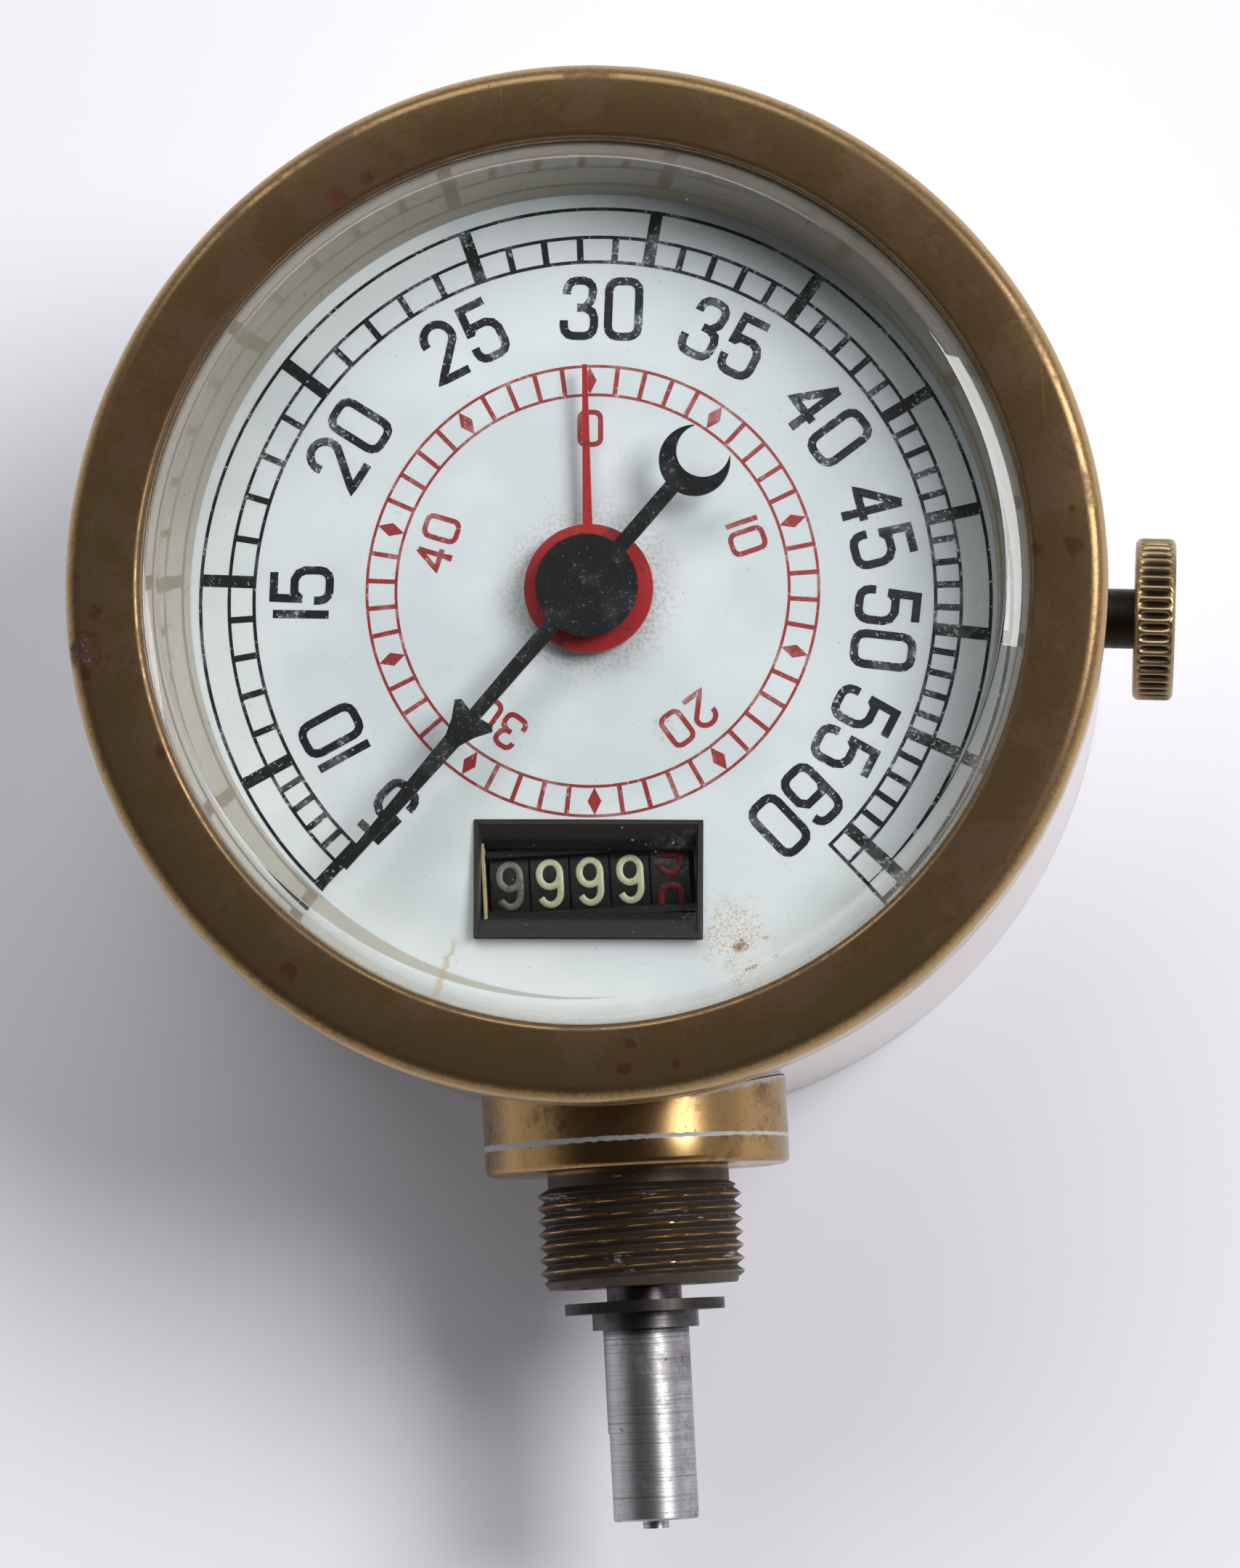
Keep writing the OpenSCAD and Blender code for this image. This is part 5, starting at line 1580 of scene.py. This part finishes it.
@dataclass
class Bezel:
    """Bezel ring with a softly rounded, dented outer edge."""

    outer_r: float = 54.5
    bore_r: float = 53.05
    inner_r: float = 46.4
    seat_r: float = 51.25
    foot_z: float = 53.2
    shelf_z: float = 57.0
    lip_z: float = 59.0
    top_z: float = 62.0
    edge: float = 1.9
    lip: tuple[float, float] = (0.8, 0.8)
    chamfer: float = 0.8
    foot: float = 0.25
    steps: int = 360

    def dent(self, radius: float, z: float, turn: float) -> float:
        """Depth of the dents in the outer edge.

        Args:
            radius: the point's radius.
            z: its height.
            turn: its turn in radians.

        Returns:
            The depth there.
        """
        if radius <= self.outer_r - 1.2:
            return 0.0
        rough = noise.noise(Vector((math.cos(turn) * 24, math.sin(turn) * 24, z * 0.6)))
        return max(0.0, rough - 0.42) * 0.14

    def build(self) -> None:
        """Makes the ring and hides the plain one."""
        outer = bow(self.outer_r - self.edge, self.top_z - self.edge, self.edge, self.edge, 0, 90)
        wide, deep = self.lip
        inner = bow(self.inner_r + wide, self.top_z - deep, wide, deep, 90, 180)
        profile: Path = [
            (self.bore_r, self.shelf_z),
            (self.bore_r, self.foot_z),
            *bow(self.outer_r - self.foot, self.foot_z + self.foot, self.foot, self.foot, -90, 0),
            *outer,
            *inner,
            (self.inner_r, self.lip_z + self.chamfer),
            (self.inner_r + self.chamfer, self.lip_z),
            (self.seat_r, self.lip_z),
            (self.seat_r, self.shelf_z),
        ]
        solid = Solid()
        solid.spin(self.steps, lambda t: [upright(r - self.dent(r, z, t), z, t) for r, z in profile])
        made = solid.piece("bezel_ring", BEZEL, Body.CASE, Slot.AGED_BRASS, 40)
        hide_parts("bezel")


@dataclass
class InnerRing:
    """Flared ring that stands on the dial's rim under the glass."""

    foot_r: float = 42.8
    foot_rise: float = 0.55
    mouth_r: float = 45.8
    taper: float = 0.7
    edge: float = 0.3
    steps: int = 256

    def build(self) -> None:
        """Makes the ring and hides the plain one."""
        low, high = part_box("inner_ring")
        out, base, top = (value / MM for value in (high[0], low[2], high[2]))
        profile: Path = [
            (self.foot_r, base + self.foot_rise),
            (self.mouth_r + self.taper, base),
            (out, base),
            (out, top),
            (self.mouth_r, top),
        ]
        profile = fillet(profile, self.edge, (4,), 4)
        solid = Solid()
        solid.spin(self.steps, lambda turn: [upright(r, z, turn) for r, z in profile])
        made = solid.piece("flared_ring", INNER_WALL, Body.CASE, Slot.STEEL, 30)
        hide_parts("inner_ring")


@dataclass
class Glass:
    """Bevelled glass whose ground edge is softened and a little off centre."""

    radius: float = 50.5
    low_z: float = 57.3
    rim_z: float = 59.0
    bevel_z: float = 60.25
    top_z: float = 61.2
    foot_r: float = 46.35
    bevel_r: float = 44.3
    shift: tuple[float, float] = (-0.35, 0.35)
    soften: float = 0.25
    steps: int = 256

    def build(self) -> None:
        """Makes the glass and hides the plain one."""
        profile = [
            (0.0, self.low_z),
            (self.radius, self.low_z),
            (self.radius, self.rim_z),
            (self.foot_r, self.rim_z),
            (self.foot_r, self.bevel_z),
            (self.bevel_r, self.top_z),
            (0.0, self.top_z),
        ]
        profile = fillet(profile, self.soften, (5,), 6)
        shift, rise = Vector((*self.shift, 0.0)), self.top_z - self.bevel_z

        def row(turn: float) -> list[Vector]:
            """Section at a turn, shifted the more the higher it lies on the bevel."""
            leans = [max(0.0, z - self.bevel_z) / rise if r else 0.0 for r, z in profile]
            return [upright(r, z, turn) + shift * lean for (r, z), lean in zip(profile, leans)]

        solid = Solid()
        solid.spin(self.steps, row)
        made = solid.piece("bevelled_glass", GLASS, Body.CASE, Slot.GLASS, 12)
        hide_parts("glass")


@dataclass
class Knob:
    """Reset knob whose rounded ridges run out before its edges."""

    axis_z: float = 38.55
    turn: float = 4.9
    radius: float = 8.65
    reach: tuple[float, float] = (57.4, 61.7)
    socket: tuple[float, float] = (2.0, 3.1)
    edge: float = 0.7
    ridges: int = 44
    depth: float = 0.55
    run_out: tuple[float, float] = (0.35, 1.1)
    steps: int = 8

    def profile(self) -> list[tuple[float, float, float]]:
        """Section of the knob.

        Returns:
            Distance along the axis, radius and share of the groove's depth at each point.
        """
        low, high = self.reach
        bore, sunk = self.socket
        rim = self.radius - self.edge
        inner = [(low + self.edge - y, rim + x) for x, y in bow(0, 0, self.edge, self.edge, 90, 0)]
        outer = [(high - self.edge + y, rim + x) for x, y in bow(0, 0, self.edge, self.edge, 0, 90)]
        flat = [(low + self.edge + (high - low - 2 * self.edge) * t / 8, self.radius) for t in range(1, 8)]
        face = [(high, 0.0), (low + sunk, 0.0), (low + sunk, bore)]
        margin, ramp = self.run_out
        points = []
        for along, r in [(low, bore), *inner, *flat, *outer, *face]:
            inside = min(along - low, high - along) - margin
            share = min(1.0, max(0.0, inside) / ramp) if r > rim + 0.01 else 0.0
            points.append((along, r, math.sin(share * math.pi / 2)))
        return points

    def build(self) -> None:
        """Makes the knob and hides the plain one."""
        a = math.radians(self.turn)
        out, side = Vector((math.cos(a), -math.sin(a), 0)), Vector((math.sin(a), math.cos(a), 0))
        profile = self.profile()

        def row(turn: float) -> list[Vector]:
            """Section of the knob with its grooves.

            Args:
                turn: its turn in radians.

            Returns:
                Its points.
            """
            groove = self.depth * (0.5 - 0.5 * math.cos(self.ridges * turn)) ** 1.3
            made = []
            for along, r, share in profile:
                r -= groove * share
                place = out * along + side * (r * math.cos(turn))
                made.append(place + Vector((0, 0, self.axis_z + r * math.sin(turn))))
            return made

        solid = Solid()
        solid.spin(self.ridges * self.steps, row)
        made = solid.piece("knurled_knob", KNOB, Body.RESET, Slot.POLISHED_BRASS, 50)
        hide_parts("reset_knob")


@dataclass
class Spring:
    """A wound spring that rides a body."""

    node: str
    body: Body
    joint: str
    turns: float
    wire: float
    axis: tuple[float, float, float]
    travel: float

    def build(self, coils: CoilTree) -> None:
        """Winds the spring in the place of the plain one.

        Args:
            coils: the tree that winds it.
        """
        low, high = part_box(self.node)
        middle, size = (low + high) / 2 / MM, (high - low) / MM
        along = Vector(self.axis).normalized()
        whole = size.y if abs(along.y) > 0.5 else (size.x - abs(along.y) * size.z) / abs(along.x)
        length = whole - 2 * self.wire
        values = {
            "Turns": self.turns,
            "Radius": (size.z / 2 - self.wire) * MM,
            "Length": length * MM,
            "Wire": self.wire * MM,
        }
        name = f"{self.node}_wire"
        mesh = coils.realise(name, bpy.data.meshes.new(f"{name}_seed"), STEEL, values)
        turn = Vector((0, 0, 1)).rotation_difference(along).to_matrix().to_4x4()
        mesh.transform(Matrix.Translation((middle - along * (length / 2)) * MM) @ turn)
        made = adopt(mesh, name, STEEL, self.body, Slot.STEEL, 60)
        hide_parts(self.node)
        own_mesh(made)


@dataclass
class Studio:
    """Camera, floor, lamps and surroundings."""

    eye: tuple[float, float, float] = (45.356, -82.724, 677.171)
    right: tuple[float, float, float] = (0.99593, -0.05148, -0.07396)
    down: tuple[float, float, float] = (-0.05839, -0.99381, -0.09453)
    ahead: tuple[float, float, float] = (-0.06863, 0.09847, -0.99277)
    lens: float = 137.45
    floor_half: float = 3.0
    key: tuple[float, float, float] = (21.0, 49.0, 1.8)
    key_size: tuple[float, float] = (1.0, 0.85)
    key_power: float = 24.5
    top: tuple[float, float, float] = (99.0, 47.0, 2.2)
    top_size: tuple[float, float] = (2.2, 1.0)
    top_power: float = 21.0
    zenith: float = 0.03
    horizon: float = 0.6

    def camera(self) -> None:
        """Places the camera as in the photograph."""
        data = bpy.data.cameras.new("camera")
        data.lens = self.lens
        data.sensor_width = 36.0
        data.clip_start, data.clip_end = 0.01, 50.0
        made = bpy.data.objects.new("camera", data)
        columns = [Vector(self.right), -Vector(self.down), -Vector(self.ahead)]
        turn = Matrix(columns).transposed().to_4x4()
        made.matrix_world = Matrix.Translation(Vector(self.eye) * MM) @ turn
        bpy.context.scene.collection.objects.link(made)
        bpy.context.scene.camera = made

    def floor(self) -> None:
        """Lays the floor under the case."""
        half = self.floor_half
        mesh = bpy.data.meshes.new("floor")
        corners = [(-half, -half, -1e-4), (half, -half, -1e-4), (half, half, -1e-4), (-half, half, -1e-4)]
        mesh.from_pydata(corners, [], [(0, 1, 2, 3)])
        mesh.materials.append(Floor("floor").material())
        made = bpy.data.objects.new("floor", mesh)
        bpy.context.scene.collection.objects.link(made)

    def lamp(self, name: str, at: Sequence[float], size: Sequence[float], power: float) -> None:
        """Adds an area lamp that faces the object.

        Args:
            name: the lamp's name.
            at: degrees from +X towards +Y, elevation in degrees and distance in metres.
            size: width and height in metres.
            power: watts.
        """
        data = bpy.data.lights.new(name, "AREA")
        data.shape = "ELLIPSE"
        data.size, data.size_y = size
        data.energy = power
        (a, e), reach = map(math.radians, at[:2]), at[2]
        place = Vector((math.cos(e) * math.cos(a), math.cos(e) * math.sin(a), math.sin(e))) * reach
        made = bpy.data.objects.new(name, data)
        made.rotation_euler = place.to_track_quat("Z", "Y").to_euler()
        made.location = place
        bpy.context.scene.collection.objects.link(made)

    def world(self) -> None:
        """Sets surroundings that are dark overhead and paler at the horizon."""
        made = bpy.data.worlds.new("surroundings")
        bpy.context.scene.world = made
        made.use_nodes = True
        tree = Tree(made.node_tree)
        tree.tree.nodes.clear()
        direction = tree.node("ShaderNodeTexCoord").outputs["Generated"]
        up = tree.node("ShaderNodeSeparateXYZ", None, {"Vector": direction}).outputs["Z"]
        ramp = {"Value": up, "From Min": 0.15, "From Max": 0.8, "To Min": self.horizon, "To Max": self.zenith}
        level = tree.node("ShaderNodeMapRange", {"interpolation_type": "SMOOTHSTEP"}, ramp).outputs[0]
        sky = tree.node("ShaderNodeBackground", None, {"Color": (0.97, 0.98, 1.0, 1.0), "Strength": level})
        tree.node("ShaderNodeOutputWorld", None, {"Surface": sky.outputs[0]})

    def build(self) -> None:
        """Sets up the whole studio."""
        bpy.context.scene.view_settings.view_transform = "Standard"
        self.camera()
        self.floor()
        self.lamp("key", self.key, self.key_size, self.key_power)
        self.lamp("top", self.top, self.top_size, self.top_power)
        self.world()


def dress_nodes() -> None:
    """Gives every CAD node its finish and rounds the edges of those that show."""
    for name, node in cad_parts.items():
        node.data.materials.clear()
        node.data.materials.append(NODE_FINISH[name].material())
        if name in ROUNDED:
            edge = node.modifiers.new("edge", "BEVEL")
            edge.width, edge.segments = ROUNDED[name] * MM, 3
            edge.limit_method, edge.angle_limit = "ANGLE", math.radians(40)
        LOG.info("%s: %s", name, NODE_FINISH[name].name)


def main() -> None:
    """Builds every sub-assembly in order."""
    logging.basicConfig(level=logging.INFO, format="%(name)s %(message)s")
    dress_nodes()
    Bezel().build()
    InnerRing().build()
    Glass().build()
    DialPrint().build()
    Counter().build()
    Spigot().build()
    Knob().build()
    coils = CoilTree()
    Spring("governor_spring", Body.DRIVE, "collar_slide", 5, 0.4, (0, 1, 0), 2.9).build(coils)
    Spring("reset_spring", Body.CASE, "reset_push", 6, 0.35, (0.996345, -0.085417, 0), 2.5).build(coils)
    Studio().build()


if __name__ == "__main__":
    main()
